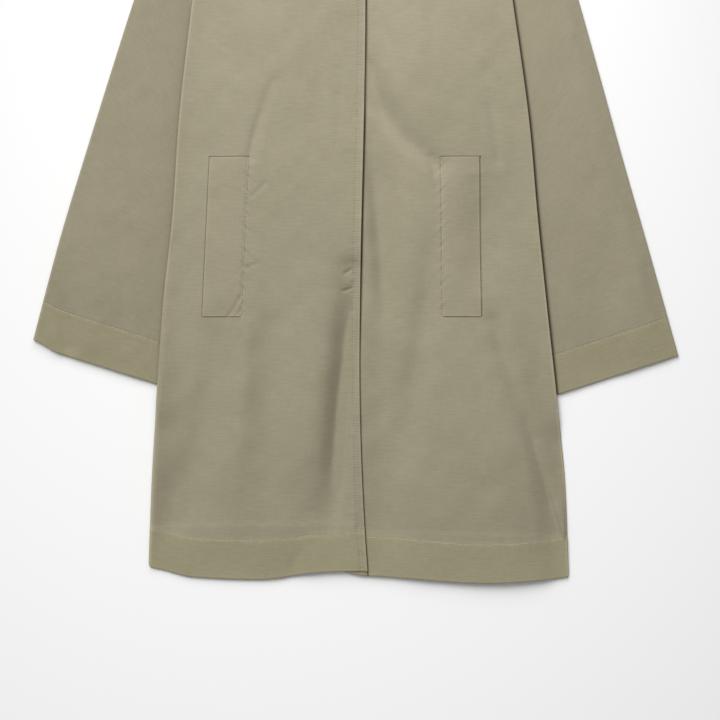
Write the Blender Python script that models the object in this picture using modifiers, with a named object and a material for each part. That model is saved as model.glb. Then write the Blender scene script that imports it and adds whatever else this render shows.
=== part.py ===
"""A flared coat with wide sleeves, laid flat on its back with the fronts closed.

Metres, +Z up, the floor is z = 0. +Y points to the neck and +X to the viewer's right.
The sleeves lie beside the body and run on under its side edges. The back lies over
them, and the two fronts lie on the back, the viewer's left front lapping over the other.
"""
import math
from collections import namedtuple

import bmesh
import bpy

# Cloth
WALL = 0.0010           # one layer
DOUBLED_WALL = 0.0018   # a hem or cuff, turned up and pressed
BAND_WALL = 0.0012      # neck band
WELT_WALL = 0.0020      # pocket welt, cut double
SEAM_GAP = 0.0003       # between pieces that are sewn together
LAP_GAP = 0.0008        # between the two fronts where they lap
HEM_DEPTH = 0.050
CUFF_DEPTH = 0.045
HEM_STEP = 0.004        # the doubled hem thins to one layer over this length

# Heights up the body
NECK_POINT_Y = 0.4937   # where the shoulder seam meets the neck
SHOULDER_TIP_Y = 0.4430
UNDERARM_Y = 0.2541
WELT_TOP_Y = 0.0310
WELT_LOW_Y = -0.1760

# Neck and shoulders
NECK_HALF = 0.085
SHOULDER_HALF = 0.200
MID_SHOULDER = (NECK_HALF + SHOULDER_HALF) / 2.0
SHOULDER_SLOPE = (NECK_POINT_Y - SHOULDER_TIP_Y) / (SHOULDER_HALF - NECK_HALF)
FRONT_NECK_DROP = 0.085
BACK_NECK_DROP = 0.020
NECK_CURVE = 2.2
BAND_HEIGHT = 0.030
BAND_TAPER = 0.94       # the band's top edge is this much narrower than its foot
BAND_SEAM = 0.0008

# Closing edge of the front that laps over
EDGE_HEM_Y = -0.500
EDGE_WAIST_Y = -0.230
EDGE_WAIST_X = 0.0070
EDGE_HEM_SWING = 0.0100
EDGE_TOP_SWING = 0.0066
EDGE_RISE = 0.460
LAP_WIDTH = 0.055

# How the layers lie
FLAT_SLEEVE = 0.0046    # a sleeve pressed flat under the body
SLEEVE_PUFF = 0.0060    # rise of a sleeve's top layer where it shows
BODY_PUFF = 0.0070      # rise of the fronts above the back
ARM_PUFF = 0.0045       # rise of the fronts along the armhole
ARM_FLAT = 0.050        # the armhole stays flat this far up from the underarm
PUFF_RUN = 0.035        # the rise takes this far from an edge
SLEEVE_CLEAR = 0.020    # a sleeve stays flat this far out from the body's edge
SLEEVE_RUN = 0.060
UNDER_RAMP = 0.040      # the back comes down from a sleeve to the floor over this run
UNDER_MARGIN = 0.026    # and stays up this far past the sleeve's own edge
BACK_HEM_SHORT = 0.006  # the back's hem is this much shorter in its middle
BACK_HEM_POWER = 4      # and comes back to the front's length this sharply at the sides
CORNER_RISE = 0.008     # the hem lifts towards the side seam
CORNER_RUN = 0.030

# Sleeve tubes
INNER_BOW = 0.035       # the hidden inner fold bows in towards the body
CUFF_WIDTH = 0.250
SHOULDER_ROUND = 0.055  # the shoulder bends into the sleeve's straight outer edge over this
CUFF_CORNER_SHARE = 0.14
TIP_GAP = 0.0010        # the sleeve's head draws away from the shoulder tip, where it bends
TIP_SHARE = 0.30
TUCK = 0.032            # the underarm end of the sleeve's head tucks in under the body
TUCK_SHARE = 0.80
HEAD_SHARE = 0.25       # the sleeve's head takes its own rise over this share of its length
END_POWER = 8           # shapes at one end of the sleeve die away this fast along it

# A row for each half of the coat, sizes measured out from the middle line
Half = namedtuple("Half", "name sign hem_y crest_x crest_drop crest_width hem_half "
                          "welt_top_x welt_low_x welt_width cuff_x cuff_y cuff_tilt cuff_corner")
LEFT = Half(name="left", sign=-1, hem_y=-0.5075, crest_x=0.140, crest_drop=0.0090, crest_width=0.075,
            hem_half=0.2667, welt_top_x=0.1374, welt_low_x=0.1470, welt_width=0.0515,
            cuff_x=0.4163, cuff_y=-0.2070, cuff_tilt=math.radians(17.6), cuff_corner=0.007)
RIGHT = Half(name="right", sign=1, hem_y=-0.5115, crest_x=0.168, crest_drop=0.0115, crest_width=0.095,
             hem_half=0.2755, welt_top_x=0.1097, welt_low_x=0.1120, welt_width=0.0520,
             cuff_x=0.4163, cuff_y=-0.2251, cuff_tilt=math.radians(18.1), cuff_corner=0.0)

# A row for each section down the coat: how far out the edge lies on the left and on the right
Section = namedtuple("Section", "y left right")
SIDE_SEAM = [
    Section(y=UNDERARM_Y, left=0.2095, right=0.2009),
    Section(y=0.086, left=0.2286, right=0.2243),
    Section(y=-0.048, left=0.2378, right=0.2364),
    Section(y=-0.151, left=0.2490, right=0.2475),
    Section(y=-0.283, left=0.2584, right=0.2634),
    Section(y=-0.387, left=0.2637, right=0.2713),
    Section(y=-0.510, left=0.2667, right=0.2755),
]
SLEEVE_EDGE = [
    Section(y=SHOULDER_TIP_Y, left=0.2204, right=0.2334),
    Section(y=0.235, left=0.2880, right=0.2900),
    Section(y=0.027, left=0.3530, right=0.3472),
    Section(y=-0.076, left=0.3840, right=0.3768),
    Section(y=-0.226, left=0.4208, right=0.4165),
]

# A row for each large fold of the fronts: its line from the upper to the lower end, its half
# width, and its height at each end, up for a crest and down for a trough
Fold = namedtuple("Fold", "x0 y0 x1 y1 width start end")
FRONT_FOLDS = [
    Fold(x0=-0.004, y0=-0.105, x1=-0.029, y1=-0.420, width=0.014, start=-0.0050, end=-0.0050),
    Fold(x0=-0.072, y0=-0.190, x1=-0.086, y1=-0.490, width=0.036, start=0.0030, end=0.0060),
    Fold(x0=-0.137, y0=-0.195, x1=-0.140, y1=-0.385, width=0.020, start=-0.0030, end=-0.0030),
    Fold(x0=-0.169, y0=-0.220, x1=-0.195, y1=-0.465, width=0.030, start=0.0020, end=0.0040),
    Fold(x0=-0.219, y0=-0.367, x1=-0.250, y1=-0.445, width=0.016, start=-0.0020, end=-0.0030),
    Fold(x0=-0.104, y0=0.157, x1=-0.135, y1=0.036, width=0.013, start=-0.0020, end=-0.0035),
    Fold(x0=-0.078, y0=0.235, x1=-0.046, y1=0.092, width=0.024, start=-0.0020, end=-0.0015),
    Fold(x0=0.016, y0=0.138, x1=0.038, y1=0.095, width=0.013, start=-0.0035, end=-0.0030),
    Fold(x0=0.038, y0=0.095, x1=0.104, y1=0.034, width=0.018, start=-0.0030, end=-0.0020),
    Fold(x0=0.074, y0=-0.011, x1=0.050, y1=-0.150, width=0.026, start=0.0030, end=0.0020),
    Fold(x0=0.090, y0=-0.102, x1=0.051, y1=-0.361, width=0.020, start=-0.0030, end=-0.0035),
    Fold(x0=0.109, y0=-0.206, x1=0.148, y1=-0.515, width=0.042, start=0.0030, end=0.0060),
    Fold(x0=0.164, y0=-0.186, x1=0.245, y1=-0.413, width=0.017, start=-0.0035, end=-0.0035),
    Fold(x0=0.232, y0=-0.342, x1=0.264, y1=-0.452, width=0.011, start=0.0020, end=0.0030),
]
SLEEVE_FOLDS = [
    Fold(x0=-0.350, y0=-0.076, x1=-0.345, y1=-0.206, width=0.034, start=0.0020, end=0.0030),
    Fold(x0=-0.387, y0=-0.166, x1=-0.377, y1=-0.205, width=0.012, start=-0.0020, end=-0.0030),
    Fold(x0=0.330, y0=-0.060, x1=0.312, y1=-0.235, width=0.030, start=-0.0015, end=-0.0025),
    Fold(x0=0.366, y0=-0.120, x1=0.368, y1=-0.230, width=0.030, start=0.0015, end=0.0030),
]

# Cells in each stretch of a panel, between the lines that row_lines and column_lines name
ROW_CELLS = [2, 1, 9, 6, 7, 6]
HEM_ROWS = ROW_CELLS[0]
WELT_ROWS = range(sum(ROW_CELLS[:3]), sum(ROW_CELLS[:4]) + 1)
OVER_CELLS = [4, 2, 5, 5]
OVER_WELT_COLUMNS = range(OVER_CELLS[0], sum(OVER_CELLS[:2]) + 1)
UNDER_CELLS = [5, 5, 2, 5]
UNDER_WELT_COLUMNS = range(sum(UNDER_CELLS[:2]), sum(UNDER_CELLS[:3]) + 1)
BACK_CELLS = [6, 11, 6]
SLEEVE_ROWS = [15, 1, 2]
SLEEVE_TOP_CELLS = 14
SLEEVE_UNDER_CELLS = 6

# Levels of a flattened tube: its upper layer, its fold and its lower layer
UPPER = 1.0
FOLD = 0.5
LOWER = 0.0
BAND_RISES = (0.0, 0.5, 1.0)   # foot, middle and top edge of the neck band

GRID_HALF = 0.5                # half the side of the plain grid that every sheet starts as
MERGE = SEAM_GAP / 100.0       # points closer than this are one

KHAKI = (0.335, 0.302, 0.208, 1.0)
KHAKI_DEEP = (0.312, 0.282, 0.190, 1.0)
COTTON_ROUGHNESS = 0.85


def mix(low, high, share):
    return low + (high - low) * share


def smooth(low, high, value):
    share = min(max((value - low) / (high - low), 0.0), 1.0)
    return share * share * (3.0 - 2.0 * share)


def stations(cells):
    """The grid lines of a strip cut into stretches, as (stretch, share of it)."""
    lines = [(stretch, i / count) for stretch, count in enumerate(cells) for i in range(count)]
    return lines + [(len(cells) - 1, 1.0)]


def between(lines, station):
    stretch, share = station
    return mix(lines[stretch], lines[stretch + 1], share)


def through(rows, side, y):
    """Smooth curve through one column of a table whose rows run down the coat."""
    def slope(index):
        above = rows[max(index - 1, 0)]
        below = rows[min(index + 1, len(rows) - 1)]
        return (getattr(below, side) - getattr(above, side)) / (below.y - above.y)

    index = sum(y < row.y for row in rows[1:-1])
    start = rows[index]
    run = rows[index + 1].y - start.y
    share = (y - start.y) / run
    straight = mix(getattr(start, side), getattr(rows[index + 1], side), share)
    chord = (getattr(rows[index + 1], side) - getattr(start, side)) / run
    bend = (1.0 - share) * (slope(index) - chord) - share * (slope(index + 1) - chord)
    return straight + run * share * (1.0 - share) * bend


def half_of(x):
    return LEFT if x < 0.0 else RIGHT


# Outline of the body

def side_half(half, y):
    """Half the body's width: the flared side seam below the underarm, the armhole above it."""
    if y >= UNDERARM_Y:
        share = (y - UNDERARM_Y) / (SHOULDER_TIP_Y - UNDERARM_Y)
        return mix(getattr(SIDE_SEAM[0], half.name), SHOULDER_HALF, share)
    return through(SIDE_SEAM, half.name, y)


def front_hem(half, x):
    """The front's hem dips where a fold stands under it and lifts at the side seam."""
    out = x * half.sign
    dip = half.crest_drop * math.exp(-((out - half.crest_x) / half.crest_width) ** 2)
    lift = CORNER_RISE * smooth(half.hem_half - CORNER_RUN, half.hem_half, out)
    return half.hem_y - dip + lift


def back_hem(x):
    half = half_of(x)
    share = min(abs(x) / half.hem_half, 1.0)
    return front_hem(half, half.sign * half.hem_half) + BACK_HEM_SHORT * (1.0 - share ** BACK_HEM_POWER)


def neck_line(x, drop):
    return NECK_POINT_Y - drop * (1.0 - min(abs(x) / NECK_HALF, 1.0) ** NECK_CURVE)


def top_line(x, drop):
    """Neckline in the middle and shoulder seam outside it."""
    if abs(x) <= NECK_HALF:
        return neck_line(x, drop)
    return NECK_POINT_Y - (abs(x) - NECK_HALF) * SHOULDER_SLOPE


def closing_edge(y):
    """The closing edge swings out towards the hem and a little towards the neck."""
    if y < EDGE_WAIST_Y:
        return EDGE_WAIST_X + EDGE_HEM_SWING * ((y - EDGE_WAIST_Y) / (EDGE_HEM_Y - EDGE_WAIST_Y)) ** 2
    return EDGE_WAIST_X + EDGE_TOP_SWING * smooth(EDGE_WAIST_Y, EDGE_WAIST_Y + EDGE_RISE, y)


def welt_lines(half, y):
    """The welt's inner and outer edges, run on down to the hem and up to the neck and shoulder."""
    if y > WELT_TOP_Y:
        share = (y - WELT_TOP_Y) / (SHOULDER_TIP_Y - WELT_TOP_Y)
        inner = mix(half.welt_top_x, NECK_HALF, share)
        outer = mix(half.welt_top_x + half.welt_width, MID_SHOULDER, share)
        return half.sign * inner, half.sign * outer
    inner = mix(half.welt_top_x, half.welt_low_x, (WELT_TOP_Y - y) / (WELT_TOP_Y - WELT_LOW_Y))
    return half.sign * inner, half.sign * (inner + half.welt_width)


# The sleeve's outline: its straight outer edge, its hidden inner fold and its cuff

def cuff_inner(half):
    return (half.cuff_x - CUFF_WIDTH * math.cos(half.cuff_tilt),
            half.cuff_y - CUFF_WIDTH * math.sin(half.cuff_tilt))


def sleeve_outer(half, share):
    y = mix(SHOULDER_TIP_Y, half.cuff_y, share)
    inset = getattr(SLEEVE_EDGE[0], half.name) - SHOULDER_HALF
    rounding = inset * math.exp((y - SHOULDER_TIP_Y) / SHOULDER_ROUND)
    return through(SLEEVE_EDGE, half.name, y) - rounding, y


def sleeve_inner(half, share):
    x, y = cuff_inner(half)
    bow = INNER_BOW * math.sin(math.pi * share) ** 2
    return mix(getattr(SIDE_SEAM[0], half.name), x, share) - bow, mix(UNDERARM_Y, y, share)


def tuck(along, across):
    return TUCK * (1.0 - along) ** 2 * smooth(TUCK_SHARE, 1.0, across)


def sleeve_point(half, along, across):
    """Plan point of a sleeve, along from armhole to cuff and across from outer edge to inner fold."""
    outer = sleeve_outer(half, along)
    inner = sleeve_inner(half, along)
    corner = half.cuff_corner * smooth(CUFF_CORNER_SHARE, 0.0, across) * along ** END_POWER
    tip = TIP_GAP * smooth(TIP_SHARE, 0.0, across) * (1.0 - along) ** END_POWER
    x = mix(outer[0], inner[0], across) + SEAM_GAP + tip - tuck(along, across)
    return half.sign * x, mix(outer[1], inner[1], across) - half.cuff_corner * along ** END_POWER + corner


# Heights

def fold_height(folds, x, y):
    """Sum of the folds at a plan point, each a soft ridge or trough along its line."""
    height = 0.0
    for fold in folds:
        run_x = fold.x1 - fold.x0
        run_y = fold.y1 - fold.y0
        share = ((x - fold.x0) * run_x + (y - fold.y0) * run_y) / (run_x ** 2 + run_y ** 2)
        share = min(max(share, 0.0), 1.0)
        gap = math.hypot(x - mix(fold.x0, fold.x1, share), y - mix(fold.y0, fold.y1, share))
        height += mix(fold.start, fold.end, share) * math.exp(-(gap / fold.width) ** 2)
    return height


def back_underside(x, y):
    """The back lies on the floor and climbs over the part of a sleeve that runs under it."""
    half = half_of(x)
    out = abs(x)
    low_x, low_y = cuff_inner(half)
    share = min(max((UNDERARM_Y - y) / (UNDERARM_Y - low_y), 0.0), 1.0)
    fold_x = sleeve_inner(half, share)[0] - tuck(share, 1.0) - UNDER_MARGIN
    cuff = low_y + (out - low_x) * math.tan(half.cuff_tilt) - UNDER_MARGIN
    over_fold = smooth(fold_x - UNDER_RAMP, fold_x, out)
    over_cuff = smooth(cuff - UNDER_RAMP, cuff, y)
    arm = UNDERARM_Y + ARM_FLAT + UNDER_MARGIN
    below_arm = 1.0 - smooth(arm, arm + UNDER_RAMP, y)
    return (FLAT_SLEEVE + SEAM_GAP) * over_fold * over_cuff * below_arm


def armhole_rise(y):
    """Rise of the upper layer along the armhole, none near the underarm and at the shoulder tip."""
    start = UNDERARM_Y + ARM_FLAT
    share = (y - start) / (SHOULDER_TIP_Y - start)
    return ARM_PUFF * math.sin(math.pi * min(max(share, 0.0), 1.0))


def front_top(x, y, wall):
    """Outer face of the fronts: on the back at the seams, risen and folded between them."""
    half = half_of(x)
    inside = side_half(half, y) - abs(x)
    shoulder = NECK_POINT_Y - max(abs(x) - NECK_HALF, 0.0) * SHOULDER_SLOPE - y
    rise = smooth(0.0, PUFF_RUN, inside) * smooth(0.0, PUFF_RUN, shoulder)
    lift = mix(armhole_rise(y), BODY_PUFF + fold_height(FRONT_FOLDS, x, y), rise)
    return back_underside(x, y) + 2.0 * wall + SEAM_GAP + lift


def lap_drop(x, y, wall):
    """The under front lies one wall lower where the other front laps over it."""
    edge = closing_edge(y)
    return (wall + LAP_GAP) * (1.0 - smooth(edge + SEAM_GAP, edge + PUFF_RUN, x))


def sleeve_top(half, x, y, along, across):
    """Outer face of a sleeve's upper layer: flat under the body, risen where it shows."""
    outside = abs(x) - side_half(half, y)
    width = math.dist(sleeve_outer(half, along), sleeve_inner(half, along))
    shows = smooth(SLEEVE_CLEAR, SLEEVE_CLEAR + SLEEVE_RUN, outside)
    edge = smooth(0.0, PUFF_RUN, across * width)
    shown = shows * edge * (SLEEVE_PUFF + fold_height(SLEEVE_FOLDS, x, y))
    return FLAT_SLEEVE + mix(armhole_rise(y), shown, smooth(0.0, HEAD_SHARE, along))


# Making the pieces

def cotton(name, colour):
    material = bpy.data.materials.new(name)
    material.use_nodes = True
    shader = material.node_tree.nodes["Principled BSDF"]
    shader.inputs["Base Color"].default_value = colour
    shader.inputs["Roughness"].default_value = COTTON_ROUGHNESS
    shader.inputs["Metallic"].default_value = 0.0
    return material


def cloth(name, points, colour, doubled_rows=(), ring=False, turned=False, wall=WALL):
    """A wall of cloth whose outer face passes through points[row][column].

    A ring joins its last column to its first. A turned sheet has its outer face the other way
    round. Rows in doubled_rows carry two layers.
    """
    rows = len(points) - 1
    columns = len(points[0]) - 1
    bm = bmesh.new()
    bmesh.ops.create_grid(bm, x_segments=columns, y_segments=rows, size=GRID_HALF)
    layer = bm.verts.layers.deform.verify()
    for vertex in bm.verts:
        row = round((vertex.co.y + GRID_HALF) * rows)
        column = round((vertex.co.x + GRID_HALF) * columns)
        vertex.co = points[row][column]
        vertex[layer][0] = 1.0 if row in doubled_rows else 0.0
    if ring:
        bmesh.ops.remove_doubles(bm, verts=bm.verts, dist=MERGE)
    if turned:
        bmesh.ops.reverse_faces(bm, faces=bm.faces)
    mesh = bpy.data.meshes.new(name)
    bm.to_mesh(mesh)
    bm.free()
    mesh.shade_smooth()
    piece = bpy.data.objects.new(name, mesh)
    piece.vertex_groups.new(name="doubled")
    mesh.materials.append(cotton(name + "_cotton", colour))
    coat.objects.link(piece)
    solid = piece.modifiers.new("wall", "SOLIDIFY")
    solid.thickness = DOUBLED_WALL if doubled_rows else wall
    solid.offset = -1.0
    if doubled_rows:
        solid.vertex_group = "doubled"
        solid.thickness_vertex_group = WALL / DOUBLED_WALL
    return piece


def row_lines(x, hem, drop):
    """Heights of the lines that part a panel's rows at x, from hem to neck or shoulder."""
    return [hem, hem + HEM_DEPTH, hem + HEM_DEPTH + HEM_STEP, WELT_LOW_Y, WELT_TOP_Y, UNDERARM_Y,
            top_line(x, drop)]


def side_row_y(half, station):
    x = half.sign * half.hem_half
    lines = row_lines(x, front_hem(half, x), FRONT_NECK_DROP)
    lines[-1] = SHOULDER_TIP_Y
    return between(lines, station)


def over_columns(y):
    """Lines that part the over front's columns, from the side to the closing edge."""
    edge = closing_edge(y)
    inner, outer = welt_lines(LEFT, y)
    return [-side_half(LEFT, y), outer, inner, edge - LAP_WIDTH, edge]


def under_columns(y):
    """Lines that part the under front's columns, from its hidden edge to the side."""
    edge = closing_edge(y)
    return [edge - LAP_WIDTH, edge, *welt_lines(RIGHT, y), side_half(RIGHT, y)]


def wall_at(row):
    return DOUBLED_WALL if row <= HEM_ROWS else WALL


def front_points(half, column_lines, cells, lapped):
    """Grid of a front's outer face."""
    points = []
    for row, row_station in enumerate(stations(ROW_CELLS)):
        side_y = side_row_y(half, row_station)
        line = []
        for column_station in stations(cells):
            x = between(column_lines(side_y), column_station)
            y = between(row_lines(x, front_hem(half, x), FRONT_NECK_DROP), row_station)
            z = front_top(x, y, wall_at(row))
            if lapped:
                z -= lap_drop(x, y, wall_at(row))
            line.append((x, y, z))
        points.append(line)
    return points


def back_points():
    points = []
    for row_station in stations(ROW_CELLS):
        left_y = side_row_y(LEFT, row_station)
        right_y = side_row_y(RIGHT, row_station)
        lines = [-side_half(LEFT, left_y), welt_lines(LEFT, left_y)[0],
                 welt_lines(RIGHT, right_y)[0], side_half(RIGHT, right_y)]
        line = []
        for column_station in stations(BACK_CELLS):
            x = between(lines, column_station)
            y = between(row_lines(x, back_hem(x), BACK_NECK_DROP), row_station)
            line.append((x, y, back_underside(x, y)))
        points.append(line)
    return points


def sleeve_ring():
    """Stations round a flattened tube, as (share across, level)."""
    top = [(i / SLEEVE_TOP_CELLS, UPPER) for i in range(SLEEVE_TOP_CELLS + 1)]
    under = [(1.0 - i / SLEEVE_UNDER_CELLS, LOWER) for i in range(SLEEVE_UNDER_CELLS + 1)]
    return [(0.0, FOLD), *top, (1.0, FOLD), *under, (0.0, FOLD)]


def sleeve_points(half):
    length = math.dist(sleeve_outer(half, 0.0), sleeve_outer(half, 1.0))
    cuff = 1.0 - CUFF_DEPTH / length
    row_shares = [0.0, cuff - HEM_STEP / length, cuff, 1.0]
    points = []
    for station in stations(SLEEVE_ROWS):
        along = between(row_shares, station)
        width = math.dist(sleeve_outer(half, along), sleeve_inner(half, along))
        nose = FLAT_SLEEVE / 2.0 / width
        line = []
        for share, level in sleeve_ring():
            across = share if level == FOLD else mix(nose, 1.0 - nose, share)
            x, y = sleeve_point(half, along, across)
            flat = FLAT_SLEEVE * level
            z = sleeve_top(half, x, y, along, across) if level == UPPER else flat
            line.append((x, y, z))
        points.append(line)
    return points


def welt_points(panel_points, columns):
    """The panel's own points under the welt, moved out by a seam's gap and the welt's wall."""
    return [[(panel_points[row][column][0], panel_points[row][column][1],
              panel_points[row][column][2] + SEAM_GAP + WELT_WALL) for column in columns]
            for row in WELT_ROWS]


def neck_path():
    """Plan stations of the neck band from the under front round the back to the over front."""
    over = over_columns(SHOULDER_TIP_Y)
    under = under_columns(SHOULDER_TIP_Y)
    right = [mix(under[1] + LAP_GAP, under[2], i / UNDER_CELLS[1]) for i in range(UNDER_CELLS[1] + 1)]
    back = [mix(NECK_HALF, -NECK_HALF, i / BACK_CELLS[1]) for i in range(BACK_CELLS[1] + 1)]
    left = [between(over[2:], station) for station in stations(OVER_CELLS[2:])]
    front_right = [(x, UPPER) for x in right]
    behind = [(x, LOWER) for x in back]
    front_left = [(x, UPPER) for x in left]
    return front_right + [(NECK_HALF, FOLD)] + behind + [(-NECK_HALF, FOLD)] + front_left


def band_points():
    points = []
    for rise in BAND_RISES:
        line = []
        for x, level in neck_path():
            drop = FRONT_NECK_DROP if level == UPPER else BACK_NECK_DROP
            foot = neck_line(x, drop)
            nose = FLAT_SLEEVE / 2.0 if level == FOLD else 0.0
            reach = x * mix(1.0, BAND_TAPER, rise) + math.copysign(nose, x)
            z = FLAT_SLEEVE * level
            if level == UPPER:
                z = max(front_top(x, foot, WALL), FLAT_SLEEVE)
            line.append((reach, foot + BAND_SEAM + BAND_HEIGHT * rise, z))
        points.append(line)
    return points


for old in list(bpy.data.objects):
    bpy.data.objects.remove(old, do_unlink=True)
coat = bpy.data.collections.new("coat")
bpy.context.scene.collection.children.link(coat)

hem_rows = range(HEM_ROWS + 1)
cuff_rows = range(sum(SLEEVE_ROWS[:2]), sum(SLEEVE_ROWS) + 1)
over_points = front_points(LEFT, over_columns, OVER_CELLS, lapped=False)
under_points = front_points(RIGHT, under_columns, UNDER_CELLS, lapped=True)

cloth("back_panel", back_points(), KHAKI, doubled_rows=hem_rows, turned=True)
cloth("front_over", over_points, KHAKI, doubled_rows=hem_rows)
cloth("front_under", under_points, KHAKI, doubled_rows=hem_rows)
cloth("sleeve_left", sleeve_points(LEFT), KHAKI, doubled_rows=cuff_rows, ring=True, turned=True)
cloth("sleeve_right", sleeve_points(RIGHT), KHAKI, doubled_rows=cuff_rows, ring=True)
cloth("welt_left", welt_points(over_points, OVER_WELT_COLUMNS), KHAKI_DEEP, wall=WELT_WALL)
cloth("welt_right", welt_points(under_points, UNDER_WELT_COLUMNS), KHAKI_DEEP, wall=WELT_WALL)
cloth("neck_band", band_points(), KHAKI, wall=BAND_WALL)
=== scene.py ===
"""Looks of a flared cotton coat with wide sleeves, laid flat on its back with the fronts closed.

Metres, +Z up, the floor is z = 0. +Y points to the neck and +X to the viewer's right.
"""
import math
from collections import namedtuple

import bpy
import numpy as np
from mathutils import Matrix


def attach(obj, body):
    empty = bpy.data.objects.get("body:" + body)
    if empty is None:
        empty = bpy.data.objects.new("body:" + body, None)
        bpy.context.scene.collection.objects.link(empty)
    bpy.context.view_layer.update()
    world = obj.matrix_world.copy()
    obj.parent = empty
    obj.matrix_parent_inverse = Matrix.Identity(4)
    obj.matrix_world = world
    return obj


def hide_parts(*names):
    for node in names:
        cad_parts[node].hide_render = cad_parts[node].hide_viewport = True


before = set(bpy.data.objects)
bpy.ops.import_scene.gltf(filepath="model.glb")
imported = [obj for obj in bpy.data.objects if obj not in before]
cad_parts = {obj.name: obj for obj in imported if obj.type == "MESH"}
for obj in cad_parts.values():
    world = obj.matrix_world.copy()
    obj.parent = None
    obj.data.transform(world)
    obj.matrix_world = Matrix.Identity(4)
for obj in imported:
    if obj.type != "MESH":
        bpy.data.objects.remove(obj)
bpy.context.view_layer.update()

# Back panel
# One panel of cotton gabardine from the shoulders to a turned-up hem, seamed to the fronts down
# both sides. It lies face down on the floor and climbs over the hidden edges of the two sleeves.
WALL = 0.0010
DOUBLED_WALL = 0.0018
SEAM_GAP = 0.0003
HEM_DEPTH = 0.050
HEM_STEP = 0.004
FACE_LIFT = 0.0005          # the outer face clears the floor by its stitches
BACK_INSET = 0.0016         # the fronts roll down round the back at the side seams

NECK_POINT_Y = 0.4937
SHOULDER_TIP_Y = 0.4430
UNDERARM_Y = 0.2541
NECK_HALF = 0.085
SHOULDER_HALF = 0.200
SHOULDER_SLOPE = (NECK_POINT_Y - SHOULDER_TIP_Y) / (SHOULDER_HALF - NECK_HALF)
BACK_NECK_DROP = 0.020
NECK_CURVE = 2.2
BACK_HEM_SHORT = 0.006
BACK_HEM_POWER = 4
LAP_HEM_RISE = 0.0070       # the under front's hem lifts where it is hidden
LAP_HEM_OUT = 0.014
LAP_HEM_IN = -0.040

# Where the sleeves run under the body
FLAT_SLEEVE = 0.0046
INNER_BOW = 0.035
CUFF_WIDTH = 0.250
TUCK = 0.032
TUCK_SHARE = 0.80
ARM_FLAT = 0.050
UNDER_RAMP = 0.040
UNDER_MARGIN = 0.026

# The coat's two halves: each one's hem, with the dip that a fold makes in it and the lift at its corner,
# and the outer corner and tilt of its cuff
Half = namedtuple("Half", "name sign hem_y hem_half crest_x crest_drop crest_in crest_out "
                          "corner_rise corner_run cuff_x cuff_y cuff_tilt cuff_corner")
LEFT = Half(name="left", sign=-1, hem_y=-0.5053, hem_half=0.2690,
            crest_x=0.125, crest_drop=0.0112, crest_in=0.058, crest_out=0.150,
            corner_rise=0.009, corner_run=0.060,
            cuff_x=0.4163, cuff_y=-0.2055, cuff_tilt=math.radians(17.6), cuff_corner=0.007)
RIGHT = Half(name="right", sign=1, hem_y=-0.5095, hem_half=0.2766,
             crest_x=0.168, crest_drop=0.0112, crest_in=0.115, crest_out=0.115,
             corner_rise=0.0006, corner_run=0.040,
             cuff_x=0.4163, cuff_y=-0.2260, cuff_tilt=math.radians(18.1), cuff_corner=0.0)

# Half widths of the body down its side seams, on the left and on the right
Section = namedtuple("Section", "y left right")
SIDE_SEAM = [
    Section(y=UNDERARM_Y, left=0.2095, right=0.2009),
    Section(y=0.086, left=0.2286, right=0.2243),
    Section(y=-0.048, left=0.2378, right=0.2364),
    Section(y=-0.151, left=0.2490, right=0.2470),
    Section(y=-0.283, left=0.2584, right=0.2614),
    Section(y=-0.387, left=0.2648, right=0.2721),
    Section(y=-0.510, left=0.2690, right=0.2769),
]

# Creases: the line from the upper to the lower end, how far it bows to the right, its half width on
# either side, and its height at the start, middle and end, up for a ridge and down for a trough
Crease = namedtuple("Crease", "x0 y0 x1 y1 bow left right start mid end")
BACK_CREASES = [
    Crease(-0.0600, -0.0800, -0.0900, -0.4400, 0.0100, 0.0160, 0.0240, 0.0000, 0.0008, 0.0016),
    Crease(0.0550, 0.0500, 0.0850, -0.3800, -0.0120, 0.0220, 0.0140, 0.0004, 0.0009, 0.0014),
    Crease(0.0040, 0.3800, -0.0120, 0.0600, 0.0060, 0.0120, 0.0180, 0.0012, 0.0006, 0.0000),
    Crease(-0.1200, 0.4000, -0.0750, 0.2400, -0.0080, 0.0100, 0.0160, 0.0010, 0.0006, 0.0003),
    Crease(0.1300, 0.3950, 0.0700, 0.2550, 0.0070, 0.0150, 0.0090, 0.0009, 0.0006, 0.0002),
]
BACK_ROWS = [3, 12, 6, 90, 56, 40]
BACK_COLUMNS = [3, 84, 3]
EDGE_STRIP = 0.004          # fine cells along every edge
WEAR_AND_HIGHLIGHT_FADE = 0.0015       # a worn edge is pale this far in: partly wear, partly a painted highlight
BACK_SEAM_HALF = 0.005      # puckers reach this far from the hem's stitches
HEM_POINTS = 400
BACK_STITCH_SEED = 11


def mix(low, high, share):
    return low + (high - low) * share


def smooth(low, high, value):
    share = np.clip((value - low) / (high - low), 0.0, 1.0)
    return share * share * (3.0 - 2.0 * share)


def through(rows, side, y):
    """Smooth curve through one column of a table whose rows run down the coat."""
    heights = np.array([row.y for row in rows])
    values = np.array([getattr(row, side) for row in rows])
    order = np.arange(len(rows))
    above = np.maximum(order - 1, 0)
    below = np.minimum(order + 1, len(rows) - 1)
    slopes = (values[below] - values[above]) / (heights[below] - heights[above])
    index = np.searchsorted(-heights[1:-1], -np.asarray(y))
    run = heights[index + 1] - heights[index]
    share = (y - heights[index]) / run
    chord = (values[index + 1] - values[index]) / run
    bend = (1.0 - share) * (slopes[index] - chord) - share * (slopes[index + 1] - chord)
    return values[index] + run * share * (chord + (1.0 - share) * bend)


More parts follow.
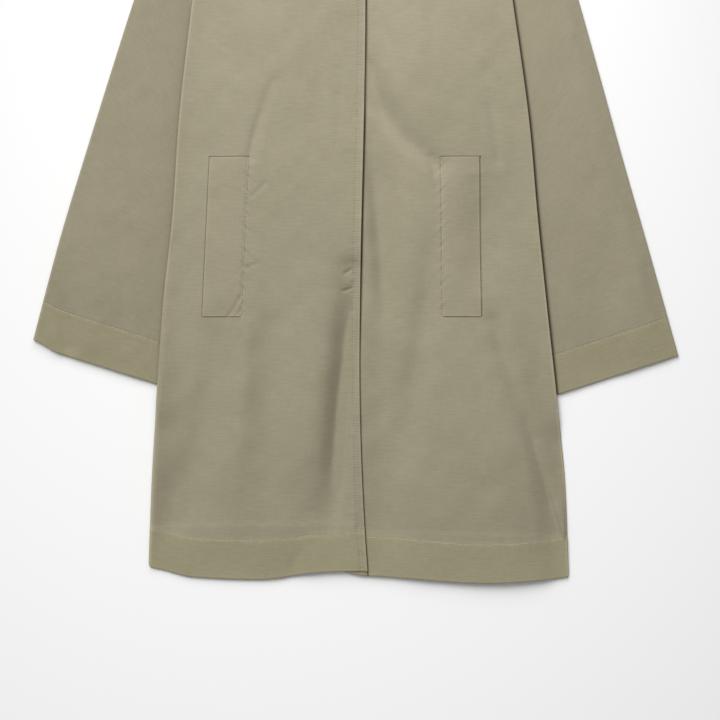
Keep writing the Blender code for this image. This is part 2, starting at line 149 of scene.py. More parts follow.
def side_half(half, y):
    """Half the body's width: the flared side seam below the underarm, the armhole above it."""
    y = np.asarray(y)
    armhole = mix(getattr(SIDE_SEAM[0], half.name), SHOULDER_HALF,
                  (y - UNDERARM_Y) / (SHOULDER_TIP_Y - UNDERARM_Y))
    return np.where(y >= UNDERARM_Y, armhole, through(SIDE_SEAM, half.name, y))


def front_hem(half, x):
    """The front's hem dips where a fold stands under it and lifts at the side seam."""
    out = x * half.sign
    width = np.where(out < half.crest_x, half.crest_in, half.crest_out)
    dip = half.crest_drop * np.exp(-((out - half.crest_x) / width) ** 2)
    hidden = LAP_HEM_RISE * (half.sign > 0) * smooth(LAP_HEM_OUT, LAP_HEM_IN, out)
    corner = half.corner_rise * smooth(half.hem_half - half.corner_run, half.hem_half, out)
    return half.hem_y - dip + hidden + corner


def back_hem(x):
    def hem(half):
        share = np.minimum(np.abs(x) / half.hem_half, 1.0)
        side = front_hem(half, half.sign * half.hem_half)
        return side + BACK_HEM_SHORT * (1.0 - share ** BACK_HEM_POWER)

    return np.where(x < 0.0, hem(LEFT), hem(RIGHT))


def top_line(x, drop):
    """Neckline in the middle and shoulder seam outside it."""
    neck = NECK_POINT_Y - drop * (1.0 - np.minimum(np.abs(x) / NECK_HALF, 1.0) ** NECK_CURVE)
    return neck - (np.clip(np.abs(x), NECK_HALF, SHOULDER_HALF) - NECK_HALF) * SHOULDER_SLOPE


def cuff_inner(half):
    return (half.cuff_x - CUFF_WIDTH * math.cos(half.cuff_tilt),
            half.cuff_y - CUFF_WIDTH * math.sin(half.cuff_tilt))


def sleeve_inner(half, share):
    """The sleeve's hidden inner fold, from the underarm to the cuff."""
    x, y = cuff_inner(half)
    bow = INNER_BOW * np.sin(math.pi * share) ** 2
    return mix(getattr(SIDE_SEAM[0], half.name), x, share) - bow, mix(UNDERARM_Y, y, share)


def tuck(along, across):
    return TUCK * (1.0 - along) ** 2 * smooth(TUCK_SHARE, 1.0, across)


def over_sleeve(half, out, y, ramp=UNDER_RAMP):
    """How far the back climbs, out from the middle line, over the sleeve on one side."""
    low_x, low_y = cuff_inner(half)
    share = np.clip((UNDERARM_Y - y) / (UNDERARM_Y - low_y), 0.0, 1.0)
    fold_x = sleeve_inner(half, share)[0] - tuck(share, 1.0) - UNDER_MARGIN
    cuff = low_y + (out - low_x) * math.tan(half.cuff_tilt) - UNDER_MARGIN
    arm = UNDERARM_Y + ARM_FLAT + UNDER_MARGIN
    over_fold = smooth(fold_x - ramp, fold_x, out)
    over_cuff = smooth(cuff - ramp, cuff, y)
    return (FLAT_SLEEVE + SEAM_GAP) * over_fold * over_cuff * (1.0 - smooth(arm, arm + UNDER_RAMP, y))


def back_underside(x, y, ramp=UNDER_RAMP):
    return np.where(x < 0.0, over_sleeve(LEFT, -x, y, ramp), over_sleeve(RIGHT, x, y, ramp))


def crease_height(creases, x, y):
    """Sum of the creases at plan points, each a soft ridge or trough along its bowed line."""
    height = np.zeros_like(x)
    for crease in creases:
        run_x = crease.x1 - crease.x0
        run_y = crease.y1 - crease.y0
        length = math.hypot(run_x, run_y)
        along = ((x - crease.x0) * run_x + (y - crease.y0) * run_y) / length ** 2
        share = np.clip(along, 0.0, 1.0)
        aside = ((y - crease.y0) * run_x - (x - crease.x0) * run_y) / length
        belly = 4.0 * share * (1.0 - share)
        aside = aside - crease.bow * belly
        past = (along - share) * length
        width = np.where(aside < 0.0, crease.left, crease.right)
        end_width = math.sqrt(crease.left * crease.right)
        crest = (crease.start * (1.0 - share) * (1.0 - 2.0 * share) + crease.mid * belly
                 + crease.end * share * (2.0 * share - 1.0))
        height += crest * np.exp(-(aside / width) ** 2 - (past / end_width) ** 2)
    return height


def stations(cells):
    """Grid lines of a strip cut into stretches: the stretch of each and its share of it."""
    stretch = np.repeat(np.arange(len(cells)), cells)
    share = np.concatenate([np.arange(count) / count for count in cells])
    return np.append(stretch, len(cells) - 1), np.append(share, 1.0)


def between(lines, cells):
    """Places of all the grid lines between the given lines, which are the last axis."""
    stretch, share = stations(cells)
    return mix(lines[..., stretch], lines[..., stretch + 1], share)


def panel_plan(columns, column_cells, row_lines, row_cells):
    """Plan points of a panel.

    columns holds its column lines for each row, and row_lines gives its row lines at x.
    """
    x = between(columns, column_cells)
    lines = np.stack(np.broadcast_arrays(*row_lines(x)))
    stretch, share = stations(row_cells)
    row = np.arange(len(stretch))
    return x, mix(lines[stretch, row], lines[stretch + 1, row], share[:, None])


def hem_share(height):
    """1 on the turned-up hem, 0 above its stitching, by the height above the hem's fold."""
    return 1.0 - smooth(HEM_DEPTH, HEM_DEPTH + HEM_STEP, height)


def rolled(distance, radius, depth=None):
    """How far a surface drops as it rolls over a rounded edge, by its distance from the edge."""
    inside = np.clip(1.0 - distance / radius, 0.0, 1.0)
    return (radius if depth is None else depth) * (1.0 - np.sqrt(1.0 - inside ** 2))


class Wire:
    """One output of a node in a material. Sums written on wires add Math nodes."""

    def __init__(self, socket):
        self.socket = socket

    def node(self, kind, settings=None, inputs=None, output=0):
        """A new node in the same material: its settings first, then values or wires for its sockets."""
        tree = self.socket.id_data
        node = tree.nodes.new(kind)
        for name, value in (settings or {}).items():
            setattr(node, name, value)
        for key, value in (inputs or {}).items():
            if isinstance(value, Wire):
                tree.links.new(value.socket, node.inputs[key])
            else:
                node.inputs[key].default_value = value
        return Wire(node.outputs[output])

    def maths(self, operation, *values):
        return self.node("ShaderNodeMath", {"operation": operation}, dict(enumerate(values)))

    def __add__(self, other):
        return self.maths("ADD", self, other)

    def __sub__(self, other):
        return self.maths("SUBTRACT", self, other)

    def __rsub__(self, other):
        return self.maths("SUBTRACT", other, self)

    def __mul__(self, other):
        return self.maths("MULTIPLY", self, other)

    __radd__ = __add__
    __rmul__ = __mul__


# Gabardine: a steep fine twill whose yarns vary in thickness, so that it is faintly streaked both ways
TWILL_ANGLE = math.radians(63.0)
TWILL_PITCH = 0.00062
TWILL_HEIGHT = 0.000030
SLUB_HEIGHT = 0.000030
CLOUD_SIZE = 0.080
WEFT_SLUB = (0.0160, 0.0021)    # length across the cloth and thickness of a thick place in the weft
WARP_SLUB = (0.0018, 0.0200)
TWILL_TONE = 0.18               # how strongly the twill, the yarns and wide clouds vary the colour
WEFT_TONE = 0.80
WARP_TONE = 0.36
CLOUD_TONE = 0.40
MIDDLE_TONE = 0.5
PUCKER_PITCH = 0.0036           # a stitch draws up one small ridge
PUCKER_HEIGHT = 0.00009
CLOUD_WANDER = 3.0              # how far clouds and weft shift the puckers along a seam
WEFT_WANDER = 0.6
KHAKI = (0.330, 0.298, 0.208, 1.0)
KHAKI_SHADE = (0.281, 0.252, 0.170, 1.0)
HEM_TINT = (1.015, 1.025, 0.950, 1.0)   # two layers look a little yellower
WEAR_AND_HIGHLIGHT_TINT = (1.22, 1.21, 1.18, 1.0)  # edges are painted paler: partly wear, partly a painted highlight where an edge catches the light
PAINTED_SHADE_TINT = (0.22, 0.18, 0.14, 1.0)     # painted shade in the crevice under the lap and in the shadow beside the right body edge
CLOTH_ROUGHNESS = 0.80
CLOUD_ROUGHNESS = 0.05
CLOTH_SHEEN = 0.12
CLOTH_SPECULAR = 0.25
MARKS = ("doubled", "pressed", "deep", "upright_seam", "level_seam")


def new_material(name):
    """A new material, its shader and a wire to the piece's cut, which is a UV map in metres of cloth."""
    material = bpy.data.materials.new(name)
    material.use_nodes = True
    shader = material.node_tree.nodes["Principled BSDF"]
    uv = material.node_tree.nodes.new("ShaderNodeUVMap")
    uv.uv_map = "cut"
    return material, shader, Wire(uv.outputs[0])


def noise_at(cut, u, v, size, detail=2.0):
    """Noise stretched to size = (across, along) in metres of cloth, from -1 to 1."""
    place = cut.node("ShaderNodeCombineXYZ", inputs={0: u * (1.0 / size[0]), 1: v * (1.0 / size[1])})
    noise = cut.node("ShaderNodeTexNoise", inputs={"Vector": place, "Scale": 1.0, "Detail": detail})
    return noise * 2.0 - 1.0


def blend(wire, factor, first, second, mode="MIX"):
    return wire.node("ShaderNodeMix", {"data_type": "RGBA", "blend_type": mode},
                     {0: factor, 6: first, 7: second}, output=2)


def gabardine(name, pale=KHAKI, shade=KHAKI_SHADE):
    material, shader, cut = new_material(name)
    u = cut.node("ShaderNodeSeparateXYZ", inputs={0: cut})
    v = cut.node("ShaderNodeSeparateXYZ", inputs={0: cut}, output=1)
    marks = {mark: cut.node("ShaderNodeAttribute", {"attribute_name": mark}, output=2) for mark in MARKS}
    turn = 2.0 * math.pi / TWILL_PITCH
    phase = u * (math.sin(TWILL_ANGLE) * turn) - v * (math.cos(TWILL_ANGLE) * turn)
    twill = cut.maths("SINE", phase)
    weft = noise_at(cut, u, v, WEFT_SLUB)
    warp = noise_at(cut, u, v, WARP_SLUB)
    cloud = noise_at(cut, u, v, (CLOUD_SIZE, CLOUD_SIZE))
    tone = twill * TWILL_TONE + weft * WEFT_TONE + warp * WARP_TONE + cloud * CLOUD_TONE + MIDDLE_TONE
    colour = blend(cut, cut.maths("MAXIMUM", cut.maths("MINIMUM", tone, 1.0), 0.0), shade, pale)
    colour = blend(cut, marks["doubled"], colour, blend(cut, 1.0, colour, HEM_TINT, "MULTIPLY"))
    # Pale edges: partly wear, partly a painted highlight where the edges catch the light
    colour = blend(cut, marks["pressed"], colour, blend(cut, 1.0, colour, WEAR_AND_HIGHLIGHT_TINT, "MULTIPLY"))
    # Painted shade: the colour is darkened where the lap and the right body edge cast shadow
    colour = blend(cut, marks["deep"], colour, blend(cut, 1.0, colour, PAINTED_SHADE_TINT, "MULTIPLY"))
    wander = cloud * CLOUD_WANDER + weft * WEFT_WANDER
    ladder = cut.maths("SINE", v * (2.0 * math.pi / PUCKER_PITCH) + wander)
    rungs = cut.maths("SINE", u * (2.0 * math.pi / PUCKER_PITCH) + wander)
    drawn = (ladder * marks["upright_seam"] + rungs * marks["level_seam"]) * PUCKER_HEIGHT
    height = twill * TWILL_HEIGHT + (weft + warp) * SLUB_HEIGHT + drawn
    normal = cut.node("ShaderNodeBump", inputs={"Strength": 1.0, "Distance": 1.0, "Height": height})
    tree = material.node_tree
    tree.links.new(colour.socket, shader.inputs["Base Color"])
    tree.links.new((cloud * CLOUD_ROUGHNESS + CLOTH_ROUGHNESS).socket, shader.inputs["Roughness"])
    tree.links.new(normal.socket, shader.inputs["Normal"])
    shader.inputs["Sheen Weight"].default_value = CLOTH_SHEEN
    shader.inputs["Specular IOR Level"].default_value = CLOTH_SPECULAR
    return material


WALL_LEVELS = 12                # steps in which a wall's thickness varies


def corners(grid):
    """The four corner values of each cell of a grid."""
    return np.stack([grid[:-1, :-1], grid[:-1, 1:], grid[1:, 1:], grid[1:, :-1]], axis=2)


def cloth(name, points, cut, material, wall, ring=False, turned=False, **marks):
    """A wall of cloth whose outer face passes through points[row, column].

    cut holds the UV place of each point, wall its thickness and marks its share of each mark.
    A ring joins its last column to its first, which are the same points. A turned wall faces the other way.
    """
    rows, columns = points.shape[:2]
    kept = columns - 1 if ring else columns
    place = np.arange(rows)[:, None] * kept + np.arange(columns)[None, :] % kept
    quads = corners(place).reshape(-1, 4)
    corner_cut = corners(cut).reshape(-1, 4, 2)
    if turned:
        quads = quads[:, ::-1]
        corner_cut = corner_cut[:, ::-1]
    mesh = bpy.data.meshes.new(name)
    mesh.from_pydata(points[:, :kept].reshape(-1, 3).tolist(), [], quads.tolist())
    mesh.uv_layers.new(name="cut").data.foreach_set("uv", corner_cut.ravel())
    for mark in MARKS:
        share = np.broadcast_to(marks.get(mark, 0.0), (rows, columns))[:, :kept]
        attribute = mesh.attributes.new(mark, "FLOAT", "POINT")
        attribute.data.foreach_set("value", np.ascontiguousarray(share, np.float32).ravel())
    mesh.shade_smooth()
    mesh.materials.append(material)
    piece = bpy.data.objects.new(name, mesh)
    bpy.context.scene.collection.objects.link(piece)
    wall = np.broadcast_to(wall, (rows, columns))[:, :kept].ravel()
    group = piece.vertex_groups.new(name="wall")
    level = np.rint(wall / wall.max() * WALL_LEVELS).astype(int)
    for step in np.unique(level):
        group.add(np.flatnonzero(level == step).tolist(), step / WALL_LEVELS, "REPLACE")
    solid = piece.modifiers.new("wall", "SOLIDIFY")
    solid.thickness = wall.max()
    solid.offset = -1.0
    solid.vertex_group = "wall"
    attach(piece, "root")
    return piece


# Sewing thread: a lockstitch in cotton, each stitch a short arch that dips into the cloth at both ends
THREAD_RADIUS = 0.00034
STITCH = 0.0031
STITCH_GAP = 0.0007
STITCH_ARCH = 0.00030
STITCH_SINK = 0.00024
FLOOR_SINK = 0.00030            # stitches that lie on the floor are pressed into the cloth
STITCH_SECTIONS = 5
THREAD_SIDES = 6
THREAD_PALE = (0.640, 0.600, 0.470, 1.0)
THREAD_SHADE = (0.500, 0.460, 0.345, 1.0)
THREAD_TWIST = 0.0007
THREAD_PLY_HEIGHT = 0.00004
THREAD_ROUGHNESS = 0.6
THREAD_SHEEN = 0.2
THREAD_END = 0.55               # share of its thickness that a stitch has at its ends
START_SPREAD = 0.08             # how uneven stitches are in place, length and depth
LENGTH_SPREAD = 0.10
SINK_SPREAD = (-0.6, 1.5)


def make_thread(name, pale, shade):
    material, shader, cut = new_material(name)
    along = cut.node("ShaderNodeSeparateXYZ", inputs={0: cut}, output=1)
    around = cut.node("ShaderNodeSeparateXYZ", inputs={0: cut})
    ply = cut.maths("SINE", along * (2.0 * math.pi / THREAD_TWIST) + around * (2.0 * math.pi))
    colour = blend(cut, ply * 0.5 + 0.5, shade, pale)
    normal = cut.node("ShaderNodeBump", inputs={"Strength": 1.0, "Distance": THREAD_PLY_HEIGHT,
                                               "Height": ply})
    material.node_tree.links.new(colour.socket, shader.inputs["Base Color"])
    material.node_tree.links.new(normal.socket, shader.inputs["Normal"])
    shader.inputs["Roughness"].default_value = THREAD_ROUGHNESS
    shader.inputs["Sheen Weight"].default_value = THREAD_SHEEN
    return material


pale_thread = make_thread("pale_thread", THREAD_PALE, THREAD_SHADE)
matching_thread = make_thread("matching_thread", KHAKI, KHAKI_SHADE)


def stitch_row(name, path, seed, up=1.0, stitch=STITCH, gap=STITCH_GAP, thread=pale_thread):
    """A row of stitches along a path of points on the cloth, uneven in length and in how far they sink."""
    chance = np.random.default_rng(seed)
    run = np.concatenate([[0.0], np.cumsum(np.linalg.norm(np.diff(path, axis=0), axis=1))])
    count = int(run[-1] / (stitch + gap))
    pitch = run[-1] / count
    start = (np.arange(count) + START_SPREAD * chance.standard_normal(count)) * pitch
    length = stitch * (1.0 + LENGTH_SPREAD * chance.standard_normal(count))
    sink = STITCH_SINK * chance.uniform(*SINK_SPREAD, count)
    share = np.linspace(0.0, 1.0, STITCH_SECTIONS)
    place = np.clip(start[:, None] + length[:, None] * share, 0.0, run[-1])
    centre = np.stack([np.interp(place, run, path[:, axis]) for axis in range(3)], axis=-1)
    tangent = centre[:, -1:] - centre[:, :1]
    tangent = tangent / np.linalg.norm(tangent, axis=-1, keepdims=True)
    arch = STITCH_ARCH * np.sin(math.pi * share) - sink[:, None] - FLOOR_SINK * (up < 0.0)
    normal = np.array([0.0, 0.0, up])
    aside = np.cross(tangent, normal)
    thick = THREAD_RADIUS * mix(THREAD_END, 1.0, np.sqrt(np.sin(math.pi * share)))
    turn = 2.0 * math.pi * np.arange(THREAD_SIDES) / THREAD_SIDES
    centre = centre + arch[..., None] * normal
    ring = np.cos(turn)[:, None] * aside[:, :, None, :] + np.sin(turn)[:, None] * normal
    points = centre[:, :, None, :] + ring * thick[None, :, None, None]
    size = STITCH_SECTIONS * THREAD_SIDES
    corner = np.arange(size).reshape(STITCH_SECTIONS, THREAD_SIDES)
    beside = np.roll(corner, -1, axis=1)
    sides = np.stack([corner[:-1], beside[:-1], beside[1:], corner[1:]], axis=-1).reshape(-1, 4)
    ends = np.stack([corner[0][::-1], corner[-1]])
    if up > 0.0:
        sides = sides[:, ::-1]
        ends = ends[:, ::-1]
    stitch_faces = sides.tolist() + ends.tolist()
    faces = [[i * size + point for point in face] for i in range(count) for face in stitch_faces]
    mesh = bpy.data.meshes.new(name)
    mesh.from_pydata(points.reshape(-1, 3).tolist(), [], faces)
    around = np.broadcast_to(np.arange(THREAD_SIDES) / THREAD_SIDES, (count, STITCH_SECTIONS, THREAD_SIDES))
    along = np.broadcast_to(place[:, :, None], around.shape)
    vertex_cut = np.stack([around, along], axis=-1).reshape(-1, 2)
    loop_vertices = np.zeros(len(mesh.loops), np.int32)
    mesh.loops.foreach_get("vertex_index", loop_vertices)
    mesh.uv_layers.new(name="cut").data.foreach_set("uv", vertex_cut[loop_vertices].ravel())
    mesh.shade_smooth()
    mesh.materials.append(thread)
    piece = bpy.data.objects.new(name, mesh)
    bpy.context.scene.collection.objects.link(piece)
    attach(piece, "root")
    return piece


body_gabardine = gabardine("body_gabardine")


def back_row_lines(x):
    hem = back_hem(x)
    return [hem, hem + EDGE_STRIP, hem + HEM_DEPTH - EDGE_STRIP, hem + HEM_DEPTH + EDGE_STRIP,
            np.zeros_like(x), UNDERARM_Y + np.zeros_like(x), top_line(x, BACK_NECK_DROP) - SEAM_GAP]


def rows_at(x, row_lines, row_cells):
    """Heights of a panel's rows at one x."""
    return between(np.array([float(line) for line in row_lines(np.array(x))]), row_cells)


def back_columns():
    left = side_half(LEFT, rows_at(-LEFT.hem_half, back_row_lines, BACK_ROWS)) - BACK_INSET
    right = side_half(RIGHT, rows_at(RIGHT.hem_half, back_row_lines, BACK_ROWS)) - BACK_INSET
    return np.stack([-left, EDGE_STRIP - left, right - EDGE_STRIP, right], axis=-1)


def back_face(x, y):
    return back_underside(x, y) + FACE_LIFT + crease_height(BACK_CREASES, x, y)


def seam_mark(distance, half_width):
    """1 on a row of stitches, fading out to either side."""
    return np.exp(-(distance / half_width) ** 2)


back_x, back_y = panel_plan(back_columns(), BACK_COLUMNS, back_row_lines, BACK_ROWS)
back_rise = back_y - back_hem(back_x)
# The back's hem edge is painted paler: partly wear, partly a painted highlight
back_panel = cloth("back_panel", np.stack([back_x, back_y, back_face(back_x, back_y)], axis=-1),
                   np.stack([back_x, back_y], axis=-1), body_gabardine,
                   mix(WALL, DOUBLED_WALL, hem_share(back_rise)), turned=True,
                   doubled=hem_share(back_rise), pressed=np.exp(-back_rise / WEAR_AND_HIGHLIGHT_FADE),
                   level_seam=seam_mark(back_rise - HEM_DEPTH, BACK_SEAM_HALF))
hem_x = np.linspace(EDGE_STRIP - LEFT.hem_half, RIGHT.hem_half - EDGE_STRIP, HEM_POINTS)
hem_y = back_hem(hem_x) + HEM_DEPTH
hem_path = np.stack([hem_x, hem_y, back_face(hem_x, hem_y)], axis=-1)
back_hem_stitches = stitch_row("back_hem_stitches", hem_path, BACK_STITCH_SEED, up=-1.0)
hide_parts("back_panel")

# Sleeves
# Two wide tubes of the same gabardine, each seamed into its armhole and pressed flat, with the inner
# fold hidden under the body. A turned-up cuff is held by one row of stitches.
CUFF_DEPTH = 0.0515
LEVEL_SHARE = 0.5           # share of the sleeve, up from the cuff, whose rows turn level with it
SHOULDER_ROUND = 0.055
CUFF_CORNER_SHARE = 0.14
TIP_GAP = 0.0010
TIP_SHARE = 0.30
HEAD_SHARE = 0.25
END_POWER = 8
ARM_PUFF = 0.0045
PUFF_RUN = 0.035
CUFF_ROLL = 0.0016
EDGE_GROOVE_HALF = 0.0030
EDGE_SHADE_HALF = 0.0027
EDGE_SHARES = (0.30, 0.95)  # limits of the share across at which a row passes under the body
HALVINGS = 30
SLEEVE_EDGE = [
    Section(y=SHOULDER_TIP_Y, left=0.2204, right=0.2334),
    Section(y=0.235, left=0.2880, right=0.2900),
    Section(y=0.027, left=0.3530, right=0.3472),
    Section(y=-0.076, left=0.3840, right=0.3768),
    Section(y=-0.226, left=0.4236, right=0.4188),
]
SLEEVE_CREASES = [
    Crease(-0.3500, -0.0760, -0.3450, -0.2060, 0.0000, 0.0340, 0.0340, 0.0008, 0.0011, 0.0014),
    Crease(-0.3820, -0.1680, -0.3740, -0.2130, 0.0000, 0.0075, 0.0160, -0.0016, -0.0032, -0.0032),
    Crease(0.3300, -0.0600, 0.3120, -0.2350, 0.0000, 0.0300, 0.0300, -0.0015, -0.0020, -0.0025),
    Crease(0.3660, -0.1200, 0.3680, -0.2300, 0.0000, 0.0300, 0.0300, 0.0014, 0.0020, 0.0008),
]
SLEEVE_ROWS = [150, 6, 6, 16, 5]
SLEEVE_COLUMNS = [4, 62, 20, 26]
SLEEVE_UNDER_CELLS = 44
NOSE_CELLS = 4
# How a sleeve rises from under the body's edge, the left one steeply and the right one slowly out of
# a narrow groove, and how wide its outer fold is rounded
SleeveRise = namedtuple("SleeveRise", "puff run far_puff far_run groove fold_run")
SLEEVE_RISES = {
    "left": SleeveRise(puff=0.0034, run=0.015, far_puff=0.0080, far_run=0.110, groove=0.0, fold_run=0.004),
    "right": SleeveRise(puff=0.0040, run=0.060, far_puff=0.0, far_run=0.110, groove=0.0022, fold_run=0.026),
}
CUFF_FALL = 0.120
CUFF_SEEDS = {"left": 31, "right": 41}
# Painted shade: the sleeves' cloth is a copy of the body's painted about 6 % darker, for the way the light
# falls across their twill
SHADED_SLEEVE_KHAKI = (0.310, 0.278, 0.194, 1.0)
SHADED_SLEEVE_KHAKI_DARK = (0.264, 0.235, 0.158, 1.0)
UNEVEN_PITCHES = (1.0, 1.63, 2.71)
WAVE_LENGTHS = (0.026, 0.034, 0.043, 0.056, 0.071, 0.090)
WAVES_OF_EACH = 3
SOFT_WAVE = 0.00016
SLEEVE_WAVE_SEED = 21
SEAM_HALF = 0.004           # puckers reach this far from most rows of stitches
SEAM_DENT = 0.00035
SEAM_DENT_HALF = 0.0016
DRAWN_HEIGHT = 0.00022
DRAWN_HALF = 0.0080
DRAWN_PITCH = 0.0078


def uneven(run, pitch, seed):
    """Waves along a seam that never quite repeat, from -1 to 1."""
    chance = np.random.default_rng(seed)
    waves = [np.sin(2.0 * math.pi * run / (pitch * scale) + chance.uniform(0.0, 2.0 * math.pi))
             for scale in UNEVEN_PITCHES]
    return sum(waves) / len(waves)


def soft_waves(x, y, seed):
    """Slight unevenness of cloth that lies loose, in every direction."""
    chance = np.random.default_rng(seed)
    height = np.zeros_like(x)
    for length in WAVE_LENGTHS:
        for turn in chance.uniform(0.0, math.pi, WAVES_OF_EACH):
            phase = chance.uniform(0.0, 2.0 * math.pi)
            run = x * math.cos(turn) + y * math.sin(turn)
            height += length / WAVE_LENGTHS[-1] * np.sin(2.0 * math.pi * run / length + phase)
    return SOFT_WAVE * height


def seam_dent(distance, run, seed):
    """A row of stitches sinks into the cloth and draws it up into small uneven puckers."""
    dent = SEAM_DENT * np.exp(-(distance / SEAM_DENT_HALF) ** 2)
    return DRAWN_HEIGHT * uneven(run, DRAWN_PITCH, seed) * np.exp(-(distance / DRAWN_HALF) ** 2) - dent


def sleeve_outer(half, along):
    y = mix(SHOULDER_TIP_Y, half.cuff_y, along)
    inset = getattr(SLEEVE_EDGE[0], half.name) - SHOULDER_HALF
    return through(SLEEVE_EDGE, half.name, y) - inset * np.exp((y - SHOULDER_TIP_Y) / SHOULDER_ROUND), y


def level_with_cuff(half, along, across):
    """Moves a sleeve's rows so that those near the cuff are as far from it inside as outside."""
    outer_run = math.dist(sleeve_outer(half, 0.0), sleeve_outer(half, 1.0))
    inner_run = math.dist(sleeve_inner(half, 0.0), sleeve_inner(half, 1.0))
    stretch = outer_run / mix(outer_run, inner_run, across)
    return 1.0 - (1.0 - along) * mix(stretch, 1.0, smooth(0.0, LEVEL_SHARE, 1.0 - along))


def sleeve_plan(half, along, across):
    """Plan point of a sleeve, along from armhole to cuff and across from outer fold to inner fold."""
    along = level_with_cuff(half, along, across)
    outer = sleeve_outer(half, along)
    inner = sleeve_inner(half, along)
    corner = half.cuff_corner * smooth(CUFF_CORNER_SHARE, 0.0, across) * along ** END_POWER
    tip = TIP_GAP * smooth(TIP_SHARE, 0.0, across) * (1.0 - along) ** END_POWER
    x = mix(outer[0], inner[0], across) + SEAM_GAP + tip - tuck(along, across)
    return half.sign * x, mix(outer[1], inner[1], across) - half.cuff_corner * along ** END_POWER + corner


def body_edge_share(half, along):
    """Share across the sleeve at which each row passes under the body's edge."""
    shown = np.zeros_like(along)
    hidden = np.ones_like(along)
    for _ in range(HALVINGS):
        middle = (shown + hidden) / 2.0
        x, y = sleeve_plan(half, along, middle)
        outside = half.sign * x > side_half(half, y)
        shown = np.where(outside, middle, shown)
        hidden = np.where(outside, hidden, middle)
    return shown


def armhole_rise(y):
    """Rise of the upper layer along the armhole, none near the underarm and at the shoulder tip."""
    start = UNDERARM_Y + ARM_FLAT
    return ARM_PUFF * np.sin(math.pi * np.clip((y - start) / (SHOULDER_TIP_Y - start), 0.0, 1.0))


def sleeve_face(half, x, y, along, from_fold):
    """Outer face of a sleeve's upper layer: flat under the body, risen where it shows."""
    rise = SLEEVE_RISES[half.name]
    outside = half.sign * x - side_half(half, y)
    out = np.maximum(outside, 0.0)
    puff = rise.puff * (1.0 - np.exp(-out / rise.run)) + rise.far_puff * (1.0 - np.exp(-out / rise.far_run))
    shows = smooth(0.0, rise.fold_run, from_fold)
    loose = 1.0 - np.exp(-out / rise.run)
    to_cuff = (1.0 - along) * (SHOULDER_TIP_Y - half.cuff_y)
    shown = shows * (puff * smooth(-CUFF_FALL / 2.0, CUFF_FALL, to_cuff)
                     + loose * (crease_height(SLEEVE_CREASES, x, y) + soft_waves(x, y, SLEEVE_WAVE_SEED)))
    below_arm = 1.0 - smooth(UNDERARM_Y, UNDERARM_Y + UNDER_RAMP, y)
    groove = rise.groove * np.exp(-(outside / EDGE_GROOVE_HALF) ** 2) * below_arm
    return FLAT_SLEEVE + mix(armhole_rise(y), shown, smooth(0.0, HEAD_SHARE, along)) - groove


def make_sleeve(half):
    """One sleeve as a ring of columns: upper layer, inner fold, under layer and outer fold."""
    name = "sleeve_" + half.name
    seed = CUFF_SEEDS[half.name]
    length = math.dist(sleeve_outer(half, 0.0), sleeve_outer(half, 1.0))
    cuff = 1.0 - CUFF_DEPTH / length
    strip = EDGE_STRIP / length
    along = between(np.array([0.0, cuff - strip, cuff, cuff + strip, 1.0 - strip, 1.0]), SLEEVE_ROWS)[:, None]
    outer = np.array(sleeve_outer(half, along))
    inner = np.array(sleeve_inner(half, along))
    width = np.linalg.norm(outer - inner, axis=0)
    nose = FLAT_SLEEVE / 2.0 / width
    edge = np.clip(body_edge_share(half, along), *EDGE_SHARES)
    near = EDGE_STRIP / width
    lines = np.concatenate([nose, nose + near, edge - near, edge + near, 1.0 - nose], axis=1)
    upper = between(lines, SLEEVE_COLUMNS)
    under = np.linspace(1.0, 0.0, SLEEVE_UNDER_CELLS + 1) * (1.0 - 2.0 * nose) + nose
    bend = np.linspace(0.0, math.pi, 2 * NOSE_CELLS + 1)
    turn = np.concatenate([bend[NOSE_CELLS:-1], np.full(upper.shape[1], math.pi), bend[-2:0:-1],
                           np.zeros(under.shape[1]), bend[1:NOSE_CELLS + 1]])
    outer_nose = nose * (1.0 - np.sin(bend))
    across = np.concatenate([outer_nose[:, NOSE_CELLS:-1], upper, 1.0 - outer_nose[:, -2:0:-1],
                             under, outer_nose[:, 1:NOSE_CELLS + 1]], axis=1)
    along = np.broadcast_to(along, across.shape)
    x, y = sleeve_plan(half, along, across)
    from_cuff = (1.0 - along) * length
    from_fold = across * width
    dent = seam_dent(from_cuff - CUFF_DEPTH, from_fold, seed)
    roll = rolled(from_cuff, CUFF_ROLL)
    shown_face = sleeve_face(half, x, y, along, from_fold) + dent - roll
    round_fold = FLAT_SLEEVE / 2.0 * (1.0 - np.cos(turn))
    z = np.where(turn == math.pi, shown_face, round_fold + roll * (turn == 0.0)) + FACE_LIFT
    doubled = 1.0 - smooth(CUFF_DEPTH, CUFF_DEPTH + HEM_STEP, from_cuff)
    # Painted shade: a dark line on the right sleeve where the body's edge shadows it
    shade = seam_mark(half.sign * x - side_half(half, y), EDGE_SHADE_HALF)
    shade = shade * (half.sign > 0) * (turn == math.pi)
    side = np.where(turn < math.pi / 2.0, -1.0, 1.0)
    cut = np.stack([half.sign * side * from_fold, -along * length], axis=-1)
    points = np.stack([x, y, z], axis=-1)
    # The cuff's edge is painted paler: partly wear, partly a painted highlight
    piece = cloth(name, points, cut, sleeve_gabardine, mix(WALL, DOUBLED_WALL, doubled), ring=True,
                  turned=half.sign < 0, doubled=doubled, deep=shade,
                  pressed=np.exp(-from_cuff / WEAR_AND_HIGHLIGHT_FADE),
                  level_seam=seam_mark(from_cuff - CUFF_DEPTH, SEAM_HALF))
    row = sum(SLEEVE_ROWS[:2])
    first = NOSE_CELLS
    last = first + upper.shape[1]
    under_first = last + 2 * NOSE_CELLS - 1
    stitches = [stitch_row(name + "_stitches", points[row, first:last], seed),
                stitch_row(name + "_under_stitches", points[row, under_first:-NOSE_CELLS], seed + 1, up=-1.0)]
    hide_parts(name)


# Painted shade: the sleeves take a darker copy of the body's cloth
sleeve_gabardine = gabardine("sleeve_gabardine", SHADED_SLEEVE_KHAKI, SHADED_SLEEVE_KHAKI_DARK)
make_sleeve(LEFT)
make_sleeve(RIGHT)

